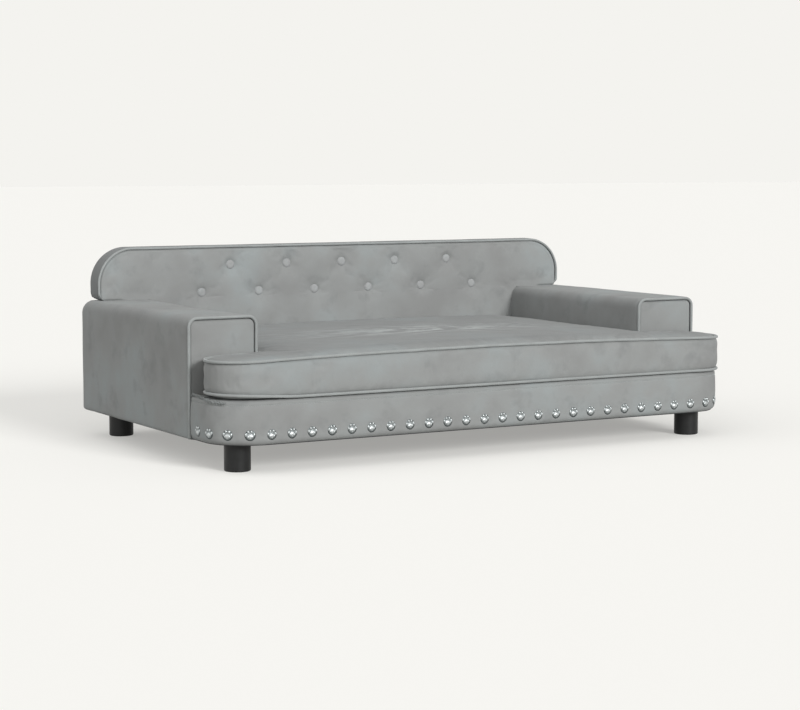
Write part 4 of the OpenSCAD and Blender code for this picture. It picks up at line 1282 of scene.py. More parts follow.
@dataclass
class Arm:
    """One boxed arm: its cover, its front panel and the piping round the panel."""

    m: Measures
    finishes: Finishes
    side: Side
    edge_r: float = 15.0
    rear_r: float = 12.0
    tail_r: float = 22.0
    foot_r: float = 5.0
    hem: float = 13.0
    foot_run: float = 14.0
    foot_rise: float = 4.0
    panel_in: float = 3.2

    def section(self) -> Outline:
        """The arm's section, from its outer foot over the top to its inner foot."""
        x0, x1, low, top = self.m.arm_in_x, self.m.arm_out_x, self.m.base_z, self.m.arm_top_z
        outer = ((x1 - self.hem, low, 0), (x1, low, self.foot_r), (x1, top, self.edge_r))
        inner = ((x0, top, self.edge_r), (x0, low, self.foot_r), (x0 + self.hem, low, 0))
        return Outline(outer + inner, 4.0, False)

    def soften(self, points: Array, normal: Array) -> Array:
        """Moves a grid of the arm in and out by noise, so that the padding shows through the cloth.

        Args:
            points: the grid.
            normal: the direction for each point, shorter where the cloth is calm.

        Returns:
            The moved grid.
        """
        seed = 20 + self.side.value
        lift = 0.65 * cloud(points, (60, 75, 55), seed) + 0.25 * cloud(points, (22, 30, 22), seed + 5)
        edge = np.hypot(points[..., 0] - self.m.arm_in_x, points[..., 2] - self.m.arm_top_z)
        middle = (self.m.arm_front_y + self.m.face_y) / 2
        lift -= 3.0 * bump(edge, 22.0) * bump(points[..., 1] - middle, 120.0)
        return points + normal * lift[..., None]

    def build_cover(self) -> None:
        """The cover: the section carried from the panel to the rear, where it rounds off and closes.

        Towards the rear the section shrinks by quarter circles: at the sides by the rear radius,
        at the top by the tail radius. The rear face shrinks it to a line.
        """
        front, back, base = self.m.arm_front_y, self.m.back_y, self.m.base_z
        stations = [(front + 0.2, 2.0), (front + 0.8, 1.2), (front + 1.8, 0.5), (front + 3.4, 0.0)]
        run = np.arange(front + 7, back - self.tail_r, 4.0)
        turn = np.radians(np.linspace(0, 90, 15))
        y = np.concatenate([[s[0] for s in stations], run, back - self.tail_r + self.tail_r * np.sin(turn)])
        lip = np.concatenate([[s[1] for s in stations], np.zeros(len(run) + len(turn))])
        over = np.clip(y - (back - self.rear_r), 0, self.rear_r)
        inset = lip + self.rear_r - np.sqrt(self.rear_r**2 - over**2)
        above = np.clip(y - (back - self.tail_r), 0, self.tail_r)
        drop = lip + self.tail_r - np.sqrt(self.tail_r**2 - above**2)
        flat, out = self.section().ring()
        middle, half = (self.m.arm_in_x + self.m.arm_out_x) / 2, (self.m.arm_out_x - self.m.arm_in_x) / 2
        x = middle + (flat[:, 0] - middle) * (1 - inset / half)[:, None]
        below = np.clip((y - back + self.foot_run) / self.foot_run, 0, 1)
        rise = self.foot_rise * (1 - np.sqrt(1 - below**2))
        squat = 1 - (drop + rise) / (self.m.arm_top_z - base)
        points = xyz(x, y[:, None], base + rise[:, None] + (flat[:, 1] - base) * squat[:, None])
        calm = ease((y - front) / 25) * ease((back - y) / 18)
        soft = self.soften(points, xyz(out[:, 0], 0, out[:, 1]) * calm[:, None, None])
        outer = Surface("arm_velvet", soft, flip=True).build()
        ring = points[-1]
        knee = ring[:, 2].max() - half + self.rear_r
        shares = np.array([1.0, 0.93, 0.8, 0.62, 0.42, 0.22, 0.08, 0.0])[:, None]
        x, z = ring[2:-2, 0], ring[2:-2, 2]
        rear = xyz(middle + (x - middle) * shares, back, np.where(z > knee, knee + (z - knee) * shares, z))
        rear[..., 1] -= 0.25 * ease((1 - shares) * 2) * (1 + cloud(rear, 45.0, 31))
        closing = Surface("arm_rear", rear, flip=True).build()
        self.finish(self.join(outer, closing), "arm_velvet", ("arm_cover", "arm_padding"), 0.85)

    def join(self, first: Piece, second: Piece) -> Piece:
        """Puts the second mesh into the first and merges their common edge.

        Args:
            first: the object that stays.
            second: the object that is used up.

        Returns:
            The first object.
        """
        with bpy.context.temp_override(active_object=first, selected_editable_objects=[first, second]):
            bpy.ops.object.join()
        return weld(first)

    def finish(self, obj: Piece, name: str, nodes: tuple[str, ...], fill: float | None = None) -> None:
        """Names a piece after its side, mirrors it for the left arm, and dresses it.

        Args:
            obj: the piece, in the place of the right arm.
            name: its name without the side.
            nodes: the CAD nodes that it replaces, without the side.
            fill: how full it is padded, or nothing for piping.
        """
        word = self.side.name.lower()
        obj.name = obj.data.name = f"{name}_{word}"
        if self.side is Side.LEFT:
            points = points_of(obj)
            points[:, 0] *= -1
            set_points(obj, points)
            obj.data.flip_normals()
        named = tuple(f"{node}_{word}" for node in nodes)
        if fill is None:
            Dress(Body.SOFA, "velvet_piping", named).put_on(obj, self.finishes.piping)
        else:
            solid(obj, self.m.cloth)
            Dress(Body.SOFA, "velvet", named, fill).put_on(obj, self.finishes.velvet)

    def build_panel(self) -> None:
        """The front panel: a grid by height and share of the width, swelling out from its edges.

        It swells by about two millimetres towards its middle, and its edges turn back behind the
        piping.
        """
        middle = (self.m.arm_in_x + self.m.arm_out_x) / 2
        half = (self.m.arm_out_x - self.m.arm_in_x) / 2 - self.panel_in
        radius = self.edge_r - self.panel_in
        top = self.m.arm_top_z - self.panel_in
        arc = top - radius + radius * np.sin(np.radians(np.linspace(0, 90, 13)))
        z = np.concatenate([np.arange(self.m.base_z + 0.4, top - radius - 2, 3.0), arc])
        over = np.clip(z - (top - radius), 0, radius)
        wide = half - radius + np.sqrt(radius**2 - over**2)
        x = middle + np.sin(np.linspace(-1, 1, 46) * math.pi / 2) * wide[:, None]
        z = np.broadcast_to(z[:, None], x.shape)
        inside = np.minimum(wide[:, None] - np.abs(x - middle), top - z)
        inside = np.minimum(inside, z - self.m.base_z + 6)
        depth = 3.0 * ease(inside / 3.5) + 1.3 * ease(inside / 40) - 1.2 - 2.2 * bump(top - z, 4.5)
        depth += 0.5 * cloud(xyz(x, 0, z), (32, 9, 36), 41 + self.side.value) * ease(inside / 20)
        obj = Surface("panel", xyz(x, self.m.arm_front_y - depth, z)).build()
        self.finish(obj, "arm_front_velvet", ("arm_front_panel",), 0.8)

    def build_piping(self) -> None:
        """The piping: a tube up the outer edge, over the top and down the inner edge."""
        r = 0.84 * self.m.piping_r
        x0, x1, top = self.m.arm_in_x, self.m.arm_out_x, self.m.arm_top_z
        outer = ((x1, self.m.base_z + 0.5, 0), (x1, top, self.edge_r))
        inner = ((x0, top, self.edge_r), (x0, self.m.base_top_z + 0.5, 0))
        flat, _ = Outline(outer + inner, 3.0, False).ring(r)
        line = xyz(flat[:, 0], self.m.arm_front_y - r, flat[:, 1])
        line[:, 0] += 0.25 * cloud(line, 28.0, 51 + self.side.value)
        line[:, 2] += 0.25 * cloud(line, 28.0, 61 + self.side.value)
        radius = r * (0.97 + 0.04 * cloud(line, 9.0, 55))
        self.finish(tube("piping", line, radius, 12), "arm_piping_velvet", ("arm_piping",))

    def build(self) -> None:
        """Makes every piece of the arm."""
        self.build_cover()
        self.build_panel()
        self.build_piping()


@dataclass
class Backrest:
    """The buttoned backrest: front cover, side band, rear cover, piping and buttons."""

    m: Measures
    finishes: Finishes
    top_r: float = 58.0
    low_r: float = 12.0
    rear_r: float = 16.0
    seam_in: float = 3.7
    piping_r: float = 1.95
    pitch: float = 102.3
    rows: tuple[tuple[float, int], ...] = ((223.0, 6), (267.0, 5))
    button_r: float = 8.0
    button_seat_y: float = 223.3
    deepest_y: float = 223.9
    turned_in: float = 20.0
    corner_tuck: float = 3.0
    centre_columns: int = 240
    wing_columns: int = 34

    def buttons(self) -> Array:
        """The buttons' places across and up: each row is centred, a pitch apart."""
        rows = [(self.pitch * (np.arange(count) - (count - 1) / 2), z) for z, count in self.rows]
        return np.concatenate([np.stack(np.broadcast_arrays(*row), -1) for row in rows])

    def overhang(self) -> Outline:
        """The outline over the arms, from the right arm over the top to the left arm."""
        x, top, low, end = self.m.back_x, self.m.top_z, self.m.over_z, self.m.arm_in_x - 4
        right = ((end, low, 0.0), (x, low, self.low_r), (x, top, self.top_r))
        left = tuple((-a, b, r) for a, b, r in reversed(right))
        return Outline(right + left, 3.0, False)

    def sheet_grid(
        self, edge: float, low_edge: float, z0: float, stem: float
    ) -> tuple[Array, Array, Array, Array]:
        """Lays a grid over the T-shaped outline: even columns between the arms, and more over the arms.

        Args:
            edge: how far the grid's edge stays inside the outline at the top and the sides.
            low_edge: how far it stays inside over the arms.
            z0: the height of its lowest row.
            stem: half the width below the overhang.

        Returns:
            X and Z of the points, their distance from the outline, and the faces to keep.
        """
        x_half, top, low = self.m.back_x - edge, self.m.top_z - edge, self.m.over_z + low_edge
        up_r, down_r = self.top_r - edge, max(self.low_r - edge, 2.0)
        foot = low + down_r - down_r * np.cos(np.radians(np.linspace(0, 90, 8)))
        head = top - up_r + up_r * np.sin(np.radians(np.linspace(0, 90, 26)))
        under = np.linspace(z0, low - 0.3, round((low - z0) / 2.5))
        side = np.linspace(foot[-1], head[0], round((head[0] - foot[-1]) / 2.4) + 1)[1:-1]
        z = np.concatenate([under, foot, side, head])
        over = np.clip(z - (top - up_r), 0, up_r)
        below = np.clip(low + down_r - z, 0, down_r)
        wide = x_half - up_r + np.sqrt(up_r**2 - over**2)
        wide = np.minimum(wide, x_half - down_r + np.sqrt(down_r**2 - below**2))
        wide = np.where(z < low, stem, wide)[:, None]
        centre = np.linspace(-stem, stem, self.centre_columns)[None, :] + 0 * wide
        share = np.linspace(0, 1, self.wing_columns + 1)[None, 1:]
        right = stem + share * (wide - stem)
        x = np.concatenate([-right[:, ::-1], centre, right], axis=1)
        zz = np.broadcast_to(z[:, None], x.shape)
        gap_x, gap_top = np.abs(x) - (x_half - up_r), zz - (top - up_r)
        round_top = up_r - np.hypot(np.maximum(gap_x, 0), np.maximum(gap_top, 0))
        inside = np.minimum(x_half - np.abs(x), top - zz)
        inside = np.minimum(inside, np.where((gap_x > 0) & (gap_top > 0), round_top, 1e3))
        fade = 0.3 * np.maximum(self.m.arm_in_x + 62 - np.abs(x), 0)
        fade += 2.2 * np.maximum(self.m.arm_in_x + 9 - np.abs(x), 0)
        inside = np.minimum(inside, np.hypot(fade, zz - low))
        keep = np.ones((len(z) - 1, x.shape[1] - 1), bool)
        keep[: len(under), : self.wing_columns] = False
        keep[: len(under), -self.wing_columns :] = False
        return x, zz, np.maximum(inside, 0), keep

    def build_front(self) -> None:
        """The buttoned cover: a grid whose depth is a sum of pulls, then stuffed as cloth.

        Depth is the face, plus the fall towards the piping, plus bells round the buttons, plus
        shallow pleats that fan out from the buttons: the cosine of nine times the angle.
        """
        low, stem = self.m.base_top_z + 1.5, self.m.arm_in_x + 10
        x, z, inside, keep = self.sheet_grid(self.seam_in, -0.9, low, stem)
        places = self.buttons()
        away = np.stack([np.hypot(x - bx, z - bz) for bx, bz in places])
        nearest = away.argmin(axis=0)
        gap = away.min(axis=0)
        angle = np.arctan2(z - places[nearest, 1], x - places[nearest, 0])
        rim = gap - self.button_r
        pull = 0.55 * bump(np.maximum(rim, 0), 3.4) + 0.45 * bump(np.maximum(rim, 0), 17.0)
        fold = np.cos(9 * angle + 1.3 * nearest) * bump(gap - 12.0, 5.0)
        y = self.m.face_y - 1.9 + 3.2 * pull + 2.6 * ease(-rim / 2.0) + 0.1 * fold
        y += 2.4 * (1 - ease(inside / 3.4)) + 1.2 * (1 - ease(inside / 32))
        y += 0.5 * cloud(xyz(x, 0, z), (64, 9, 40), 71) * (1 - pull) * ease(inside / 20)
        obj = weld(Surface("back_front_velvet", xyz(x, np.minimum(y, self.deepest_y), z), keep=keep).build())
        stuff(obj, self.held(points_of(obj)), pressure=1.5, slack=0.012, cap=1.4)
        solid(obj, self.m.cloth)
        Dress(Body.SOFA, "velvet", ("back_tufted_cover", "back_foam"), 0.7).put_on(obj, self.finishes.velvet)

    def held(self, points: Array) -> Array:
        """Tells which points of the buttoned cover stay: those at the buttons and at its open edges.

        Args:
            points: the cover's vertices, in millimetres.

        Returns:
            For each whether it stays.
        """
        x, z = np.abs(points[:, 0]), points[:, 2]
        gap = np.min([np.hypot(points[:, 0] - bx, z - bz) for bx, bz in self.buttons()], axis=0)
        corner_x, corner_z = x - (self.m.back_x - self.top_r), z - (self.m.top_z - self.top_r)
        edge = (x > self.m.back_x - 10) | (z > self.m.top_z - 10) | (z < self.m.base_top_z + 8)
        edge |= (corner_x > 0) & (corner_z > 0) & (np.hypot(corner_x, corner_z) > self.top_r - 10)
        edge |= (x > self.m.arm_in_x - 4) & (z < self.m.over_z + 10)
        return (gap < self.button_r + 2) | edge

    def build_shell(self) -> None:
        """The band round the overhang and its round rear edge: the outline carried to the rear.

        The rear edge turns in by a quarter circle, but not over the arms, where the band stays
        straight: the turn is weighted by one plus the outline's downward normal. Its hem goes
        in under the rear cover, at the lower corners too.
        """
        seam = self.m.back_y - self.rear_r
        band = [(1.7, 222.0), (0.6, 222.7), (0.1, 223.9), (-0.3, 228), (-0.5, 235), (-0.4, 242), (0.1, 246.5)]
        band.append((0.9, seam - 0.7))
        turn = np.radians(np.linspace(0, 90, 12))
        edge = np.column_stack([self.rear_r * (1 - np.cos(turn)), seam + self.rear_r * np.sin(turn)])
        edge[0] = (0.9, seam + 0.4)
        tuck = [(17.5, self.m.back_y - 0.4), (19.5, self.m.back_y - 1.6)]
        profile = np.concatenate([band, edge, tuck])
        place = np.concatenate([[0.0], np.cumsum(np.linalg.norm(np.diff(profile, axis=0), axis=1))])
        fine = np.linspace(0, place[-1], 46)
        inset, y = np.interp(fine, place, profile[:, 0]), np.interp(fine, place, profile[:, 1])
        path = self.overhang()
        base, out = path.ring()
        turned = ease(1.0 + np.minimum(out[:, 1], 0))
        rows = [path.ring(float(a))[0] for a in inset]
        points = np.stack([xyz(row[:, 0], b, row[:, 1]) for row, b in zip(rows, y)])
        straight = base - out * np.minimum(inset[:, None, None], 1.7)
        points[..., [0, 2]] = straight + (points[..., [0, 2]] - straight) * turned[:, None]
        hem = np.clip((fine - place[-3]) / 1.3, 0, 1)[:, None] * (out[:, 1] < 0)
        reach = np.minimum(np.abs(points[..., 0]), self.m.back_x - tuck[0][0])
        points[..., 0] += (np.sign(points[..., 0]) * reach - points[..., 0]) * hem
        lowest = self.m.over_z + self.corner_tuck
        points[..., 2] += (np.maximum(points[..., 2], lowest) - points[..., 2]) * hem
        lift = 0.45 * cloud(points, (60, 24, 60), 81) * np.sin(np.linspace(0, math.pi, len(y)))[:, None]
        points[..., [0, 2]] += out[None] * lift[..., None]
        obj = Surface("back_band_velvet", points, flip=True).build()
        # Painted shade: the side band is darkened towards the away colour, fading out over its round rear
        # edge.
        mark(obj, "laid", ease((seam + 12 - points_of(obj)[:, 1]) / 14))
        solid(obj, self.m.cloth)
        Dress(Body.SOFA, "velvet", ("back_side_band",), 0.8).put_on(obj, self.finishes.velvet)

    def build_rear(self) -> None:
        """The rear cover: a flat grid, turned in at its edges, with faint tension waves.

        Between the arms its sides turn forward, down to the bottom of the groove beside each arm.
        """
        stem = self.m.arm_in_x + 0.6
        x, z, inside, keep = self.sheet_grid(self.rear_r - 0.5, 1.0, self.m.base_z, stem)
        low = z < self.m.over_z + 0.9
        y = self.m.back_y - 1.3 * (1 - ease(inside / 4)) - 0.1
        y -= 0.3 * (1 + cloud(xyz(x, 0, z), (80, 9, 60), 91)) * ease(inside / 25)
        y -= self.turned_in * (low & (np.abs(x) > stem - 0.1))
        x = np.where(low & (np.abs(x) > stem - 3.0), np.sign(x) * np.maximum(np.abs(x), stem - 0.25), x)
        obj = weld(Surface("back_rear_velvet", xyz(x, y, z), flip=True, keep=keep).build())
        solid(obj, self.m.cloth)
        Dress(Body.SOFA, "velvet", ("back_rear_cover",), 0.6).put_on(obj, self.finishes.velvet)

    def build_piping(self) -> None:
        """The piping: a tube round the overhang from one arm to the other.

        It is nipped thin by its seam. Over the arms the full face hides it, and its ends go in
        behind the face.
        """
        r = self.piping_r
        flat, out = self.overhang().ring(r)
        line = xyz(flat[:, 0], self.m.face_y, flat[:, 1])
        line[:, 2] += 0.25 * cloud(line, 40.0, 95)
        under = ease(-out[:, 1] * 1.5 - 0.5)
        near_end = bump(np.abs(line[:, 0]) - self.m.arm_in_x, 14.0) * under
        line[:, 1] += 5.4 * under + 2.0 * near_end
        radius = r * (0.98 + 0.03 * cloud(line, 9.0, 96)) * (1 - 0.3 * near_end)
        obj = tube("back_piping_velvet", line, radius, 12)
        Dress(Body.SOFA, "velvet_piping", ("back_piping",)).put_on(obj, self.finishes.piping)

    def build_buttons(self) -> None:
        """Covered buttons: a dome by radius and angle, gathered in small pleats at its rim."""
        share = np.concatenate([[0.03], np.linspace(0.12, 0.9, 9), [0.96, 1.0, 1.0, 0.97]])[:, None]
        turn = np.linspace(0, 2 * math.pi, 36, endpoint=False)[None, :]
        high = 3.7 * np.clip(1 - share**4, 0, 1) ** 0.7 + 0 * turn
        high[-3], high[-2], high[-1] = 1.2, 0.5, 0.0
        pleat = 1 + 0.018 * np.cos(12 * turn) * share**4
        reach = share * self.button_r * pleat
        dome = xyz(reach * np.cos(turn), reach * np.sin(turn), high)
        shape = Surface("button", dome, wrap_columns=True, cap_low=True, cap_high=True)
        spots = self.buttons()
        places = xyz(spots[:, 0], self.button_seat_y, spots[:, 1])
        out = xyz(0.06 * cloud(places, 13.0, 97), -1.0, 0.06 * cloud(places, 13.0, 98))
        obj = strewn("back_button_velvet", shape, places, frames(np.cross(UP, out), out))
        # The buttons take the paler copy of the velvet: painted highlight.
        Dress(Body.SOFA, "velvet", ("buttons",)).put_on(obj, self.finishes.painted_highlight)

    def build(self) -> None:
        """Makes every piece of the backrest."""
        self.build_front()
        self.build_shell()
        self.build_rear()
        self.build_piping()
        self.build_buttons()


def stuff(obj: Piece, pinned: Array, pressure: float, slack: float, cap: float | Array) -> None:
    """Stuffs a skin: runs it as cloth under pressure with some vertices pinned, and caps the movement.

    Args:
        obj: the mesh, whose vertices move.
        pinned: for each vertex whether it stays.
        pressure: the pressure from inside.
        slack: how much longer than its shape the cloth is cut, as a share.
        cap: the furthest that a vertex may move, in millimetres, one for all or one for each.
    """
    before = points_of(obj)
    group = obj.vertex_groups.new(name="pins")
    group.add(np.flatnonzero(pinned).tolist(), 1.0, "REPLACE")
    cloth = obj.modifiers.new("stuffing", "CLOTH")
    settings = cloth.settings
    settings.quality = 5
    settings.mass = 0.25
    settings.tension_stiffness = 14
    settings.compression_stiffness = 14
    settings.shear_stiffness = 6
    settings.bending_stiffness = 0.4
    settings.use_pressure = True
    settings.uniform_pressure_force = pressure
    settings.vertex_group_mass = "pins"
    settings.shrink_min = -slack
    settings.effector_weights.gravity = 0
    cloth.collision_settings.use_collision = False
    scene = bpy.context.scene
    for moment in range(1, STUFFING_FRAMES + 1):
        scene.frame_set(moment)
    bake_modifiers(obj)
    moved = points_of(obj) - before
    far = np.linalg.norm(moved, axis=1, keepdims=True)
    most = np.reshape(cap, (-1, 1)) if np.ndim(cap) else cap
    moved *= most * np.tanh(far / most) / np.maximum(far, 1e-9)
    set_points(obj, before + np.nan_to_num(moved))
    obj.vertex_groups.clear()
    scene.frame_set(1)
    LOG.info("%s: stuffed, moved %.1f mm at most", obj.name, float(far.max()))


@dataclass
class Cushion:
    """The loose T-shaped cushion: its cover, two rows of piping and the zip behind."""

    m: Measures
    finishes: Finishes
    half_x: float = 441.3
    wing_y: float = -157.7
    stem_x: float = 335.8
    back_y: float = 216.9
    low_z: float = 107.05
    boxing: float = 49.5
    rise: float = 7.0
    crown: float = 6.0
    crown_w: float = 38.0
    corner_r: float = 58.0
    wing_r: float = 45.0
    notch_r: float = 5.0
    rear_r: float = 16.0
    sag: float = 2.6
    piping_r: float = 2.2
    welt_in: float = 5.0
    welt_r: float = 1.1
    seam_in: float = 2.9
    swell: float = 1.5
    draw_in: float = 3.5
    zip_half: float = 250.0
    zip_y: float = 207.6
    zip_z: float = 131.8

    def outline(self, spacing: float) -> Outline:
        """The T, anticlockwise from its front left corner."""
        x, y, stem, wing = self.half_x, self.m.front_y, self.stem_x, self.wing_y
        front = ((-x, y, self.corner_r), (x, y, self.corner_r))
        right = ((x, wing, self.wing_r), (stem, wing, self.notch_r), (stem, self.back_y, self.rear_r))
        left = tuple((-a, b, r) for a, b, r in reversed(right))
        return Outline(front + right + left, spacing)

    def seam_top(self, x: Array) -> Array:
        """Height of the upper seam: it rises towards the middle as one minus the share across squared."""
        return self.low_z + self.boxing + self.rise * (1 - np.square(x / self.half_x))

    def seam_low(self, x: Array) -> Array:
        """Height of the lower seam: the left wing's end lies a little higher on the rail."""
        return self.low_z + 4.5 * ease((-x - 315) / 110)

    def rings(self) -> Array:
        """The cushion's closed skin, from the middle of its underside to its crown.

        Between the seams it swells out by the swell times (1 - |2 s - 1|^3)^0.6, where s is the
        share of the height, but at the rear it is drawn in to make room for the zip.
        """
        outline = self.outline(5.0)
        rows = []
        for inset, drop, share in ((30.0, self.sag, 0.0), (12.0, self.sag, 0.2), (6.0, 1.6, 0.6)):
            flat, _ = outline.ring(inset)
            rows.append(at_height(flat, self.low_z + share * (self.seam_low(flat[:, 0]) - self.low_z) - drop))
        for share in (0, 0.03, 0.08, 0.15, 0.25, 0.37, 0.5, 0.63, 0.75, 0.85, 0.92, 0.97, 1):
            full = (1 - abs(2 * share - 1) ** 3) ** 0.6
            flat, _ = outline.ring(self.seam_in - self.swell * full)
            rear = ease((flat[:, 1] - self.back_y + 45) / 35)
            flat[:, 1] -= rear * (self.swell + self.draw_in) * full
            top, low = self.seam_top(flat[:, 0]), self.seam_low(flat[:, 0])
            rows.append(at_height(flat, low + (top - low) * share))
        for inset in (9.0, 16.0, 26.0, self.crown_w + self.seam_in):
            flat, _ = outline.ring(inset)
            rows.append(at_height(flat, self.crown_top(flat[:, 0], inset - self.seam_in)))
        return np.stack(rows)

    def crown_top(self, x: Array, gap: float | Array) -> Array:
        """Height of the top at a distance from the seam: over it by the crown times 1 - (1 - share)^2.

        Over the wings the filling is thinner, and the crown is about half as high.

        Args:
            x: the places across.
            gap: their distance from the upper seam, of which the crown's width is one share.

        Returns:
            The heights.
        """
        share = np.clip(gap / self.crown_w, 0, 1)
        full = 0.45 + 0.55 * ease((370 - np.abs(x)) / 120)
        return self.seam_top(x) + self.crown * full * (1 - np.square(1 - share))

    def seam_gap(self, points: Array) -> Array:
        """Distance of each point from the nearer seam, by chunks of points against the seams' points.

        Args:
            points: the points.

        Returns:
            Their distances.
        """
        flat, _ = self.outline(6.0).ring(self.seam_in)
        seams = np.concatenate([at_height(flat, seam(flat[:, 0])) for seam in (self.seam_low, self.seam_top)])
        chunks = np.array_split(points, max(1, len(points) // 4000))
        return np.concatenate([np.linalg.norm(c[:, None] - seams[None], axis=2).min(axis=1) for c in chunks])

    def build_cover(self) -> None:
        """The cover: the closed skin remeshed in small squares, stuffed, creased and wrinkled."""
        obj = Surface("cushion_velvet", self.rings(), wrap_columns=True, cap_low=True, cap_high=True).build()
        remesh = obj.modifiers.new("squares", "REMESH")
        remesh.mode = "VOXEL"
        remesh.voxel_size = 5.0 * MM
        bake_modifiers(obj)
        points, normal = points_of(obj), normals_of(obj)
        gap = self.seam_gap(points)
        top = (normal[:, 2] > 0.6) & (points[:, 2] > self.seam_top(points[:, 0]) + 0.5)
        points[:, 2] = np.where(top, self.crown_top(points[:, 0], gap), points[:, 2])
        set_points(obj, points)
        pinned = (gap < 6.0) | (points[:, 2] < self.seam_low(points[:, 0]) - 0.5)
        stuff(obj, pinned, pressure=3.0, slack=0.02, cap=np.where(top, 2.6, 0.9))
        self.crease(obj)
        smooth = obj.modifiers.new("rounder", "SUBSURF")
        smooth.levels = smooth.render_levels = 1
        bake_modifiers(obj)
        self.wrinkle(obj)
        dress = Dress(Body.CUSHION, "velvet", ("cushion_cover", "cushion_core"), 0.75)
        dress.put_on(obj, self.finishes.velvet)

    def crease(self, obj: Piece) -> None:
        """Draws the cloth in beside the seams, so that the piping lies in a groove.

        Args:
            obj: the cover.
        """
        points, normal = points_of(obj), normals_of(obj)
        gap = self.seam_gap(points)
        points -= normal * (0.8 * bump(gap, 3.6))[:, None]
        points[:, 2] = np.maximum(points[:, 2], self.low_z - self.sag)
        set_points(obj, points)

    def wrinkle(self, obj: Piece) -> None:
        """Presses soft folds into the seat and the boxing, marks the pale streaks of roughed pile, and paints
        shade on the top.

        Where a dog steps up, ridges run across the seat: the sine of the distance back plus noise.

        Args:
            obj: the cover.
        """
        points, normal = points_of(obj), normals_of(obj)
        gap = self.seam_gap(points)
        x, y, z = points.T
        flat = xyz(x, y, 0)
        calm = ease((gap - 5) / 16)
        lift = 0.7 * cloud(points, (70, 60, 40), 101) + 0.3 * cloud(points, (24, 26, 20), 102)
        across = cloud(flat, (95, 30, 9), 104)
        wave = np.sin((y + 14 * across) / 5.2 + 0.012 * x)
        ridge = np.maximum(wave, 0) ** 3 * ease(0.55 + 1.6 * cloud(flat, (110, 22, 9), 105))
        trodden = bump(y + 20, 75) * bump(x - 90, 210)
        lift += np.where(z > self.low_z + self.boxing, (2.0 * ridge - 0.4) * trodden, 0)
        pucker = np.cos((x + y) / 3.3 + 3 * cloud(points, 30.0, 107)) * bump(gap - 9, 5) * 0.12
        points += normal * (lift * calm + pucker)[:, None]
        points[:, 2] = np.maximum(points[:, 2], self.low_z - self.sag)
        set_points(obj, points)
        mark(obj, "nap", bump(y + 45, 62) * bump(x + 15, 190) * (normal[:, 2] > 0.6))
        # Painted shade: the top is darkened towards the away colour, fading in away from the seams.
        mark(obj, "laid", 0.45 * ease((normal[:, 2] - 0.4) / 0.5) * ease((gap - 4) / 30))

    def build_piping(self) -> None:
        """Both pipings: closed tubes round the outline at the seams' heights.

        The lower one is rolled in under the boxing along the right half of the front. Inside each
        runs its welt, which fills the seam between the piping and the cover.
        """
        flat, out = self.outline(3.0).ring(self.piping_r)
        rolled = 1.9 * ease((flat[:, 0] - 10) / 140) * ease((405 - flat[:, 0]) / 60)
        for name, seam, seed in (("top", self.seam_top, 111), ("bottom", self.seam_low, 112)):
            line = at_height(flat, seam(flat[:, 0]))
            if name == "top":
                line[:, 2] += 0.35 * cloud(line, 45.0, seed)
            else:
                line[:, :2] -= out * rolled[:, None]
            radius = self.piping_r * (0.98 + 0.03 * cloud(line, 9.0, seed + 3))
            obj = tube(f"cushion_piping_{name}_velvet", line, radius, 12, closed=True)
            dress = Dress(Body.CUSHION, "velvet_piping", (f"cushion_piping_{name}",))
            dress.put_on(obj, self.finishes.piping)
            line[:, :2] -= out * (self.welt_in - self.piping_r)
            welt = tube(f"cushion_welt_{name}", line, self.welt_r, 8, closed=True)
            Dress(Body.CUSHION, "velvet_piping").put_on(welt, self.finishes.piping)

    def build_zip(self) -> None:
        """The zip: a strip of tape, and a row of small plastic teeth along its middle."""
        rise = np.array([-6.0, -5.6, -3.0, 0.0, 3.0, 5.6, 6.0])[:, None]
        y = self.zip_y + 0.5 + 0.1 * np.cos(rise / 2)
        y[[0, -1]] -= 0.3
        points = xyz(np.linspace(-self.zip_half, self.zip_half, 120), y, self.zip_z + rise)
        tape = Surface("zip_tape_woven", points, flip=True).build()
        solid(tape, 0.4)
        Dress(Body.CUSHION, "zip_tape", ("zip_tape",)).put_on(tape, self.finishes.tape)
        at = np.arange(-self.zip_half + 2, self.zip_half - 1, 1.6)
        places = xyz(at, self.zip_y + 1.1, self.zip_z + 0.7 * (-1.0) ** np.arange(len(at)))
        teeth = strewn("zip_teeth", capsule(2.8, 1.2, 1.3, 4), places, frames(UP, BACK))
        Dress(Body.CUSHION, "zip_tape").put_on(teeth, self.finishes.tape)

    def build(self) -> None:
        """Makes every piece of the cushion."""
        self.build_cover()
        self.build_piping()
        self.build_zip()


@dataclass
class Framework:
    """The CAD nodes that stay as they are: boards, feet and fasteners."""

    finishes: Finishes
    nodes: dict[str, Piece]

    def dress(self) -> None:
        """Gives every CAD node its material, by the start of its name."""
        arms = ("arm_front_board", "arm_rear_board", "arm_outer_panel", "arm_inner_panel", "arm_top_board")
        nails = ("button_nails", "deck_screws", "back_screws", "zip_slider")
        bolts = ("foot_bolts", "foot_tee_nuts", "arm_bolts", "arm_tee_nuts")
        kinds = (
            (("front_rail_board", "seat_deck", "back_board", *arms), self.finishes.plywood),
            (("cross_rail", "side_rail", "back_rail", "centre_rail", "foot_blocks"), self.finishes.pine),
            (nails + bolts, self.finishes.zinc),
            (("foot_front", "foot_rear"), self.finishes.plastic),
        )
        for name, node in sorted(self.nodes.items()):
            for starts, material in kinds:
                if name.startswith(starts):
                    for slot in node.material_slots:
                        slot.material = material
                    LOG.info("%s: CAD node in %s", name, material.name)


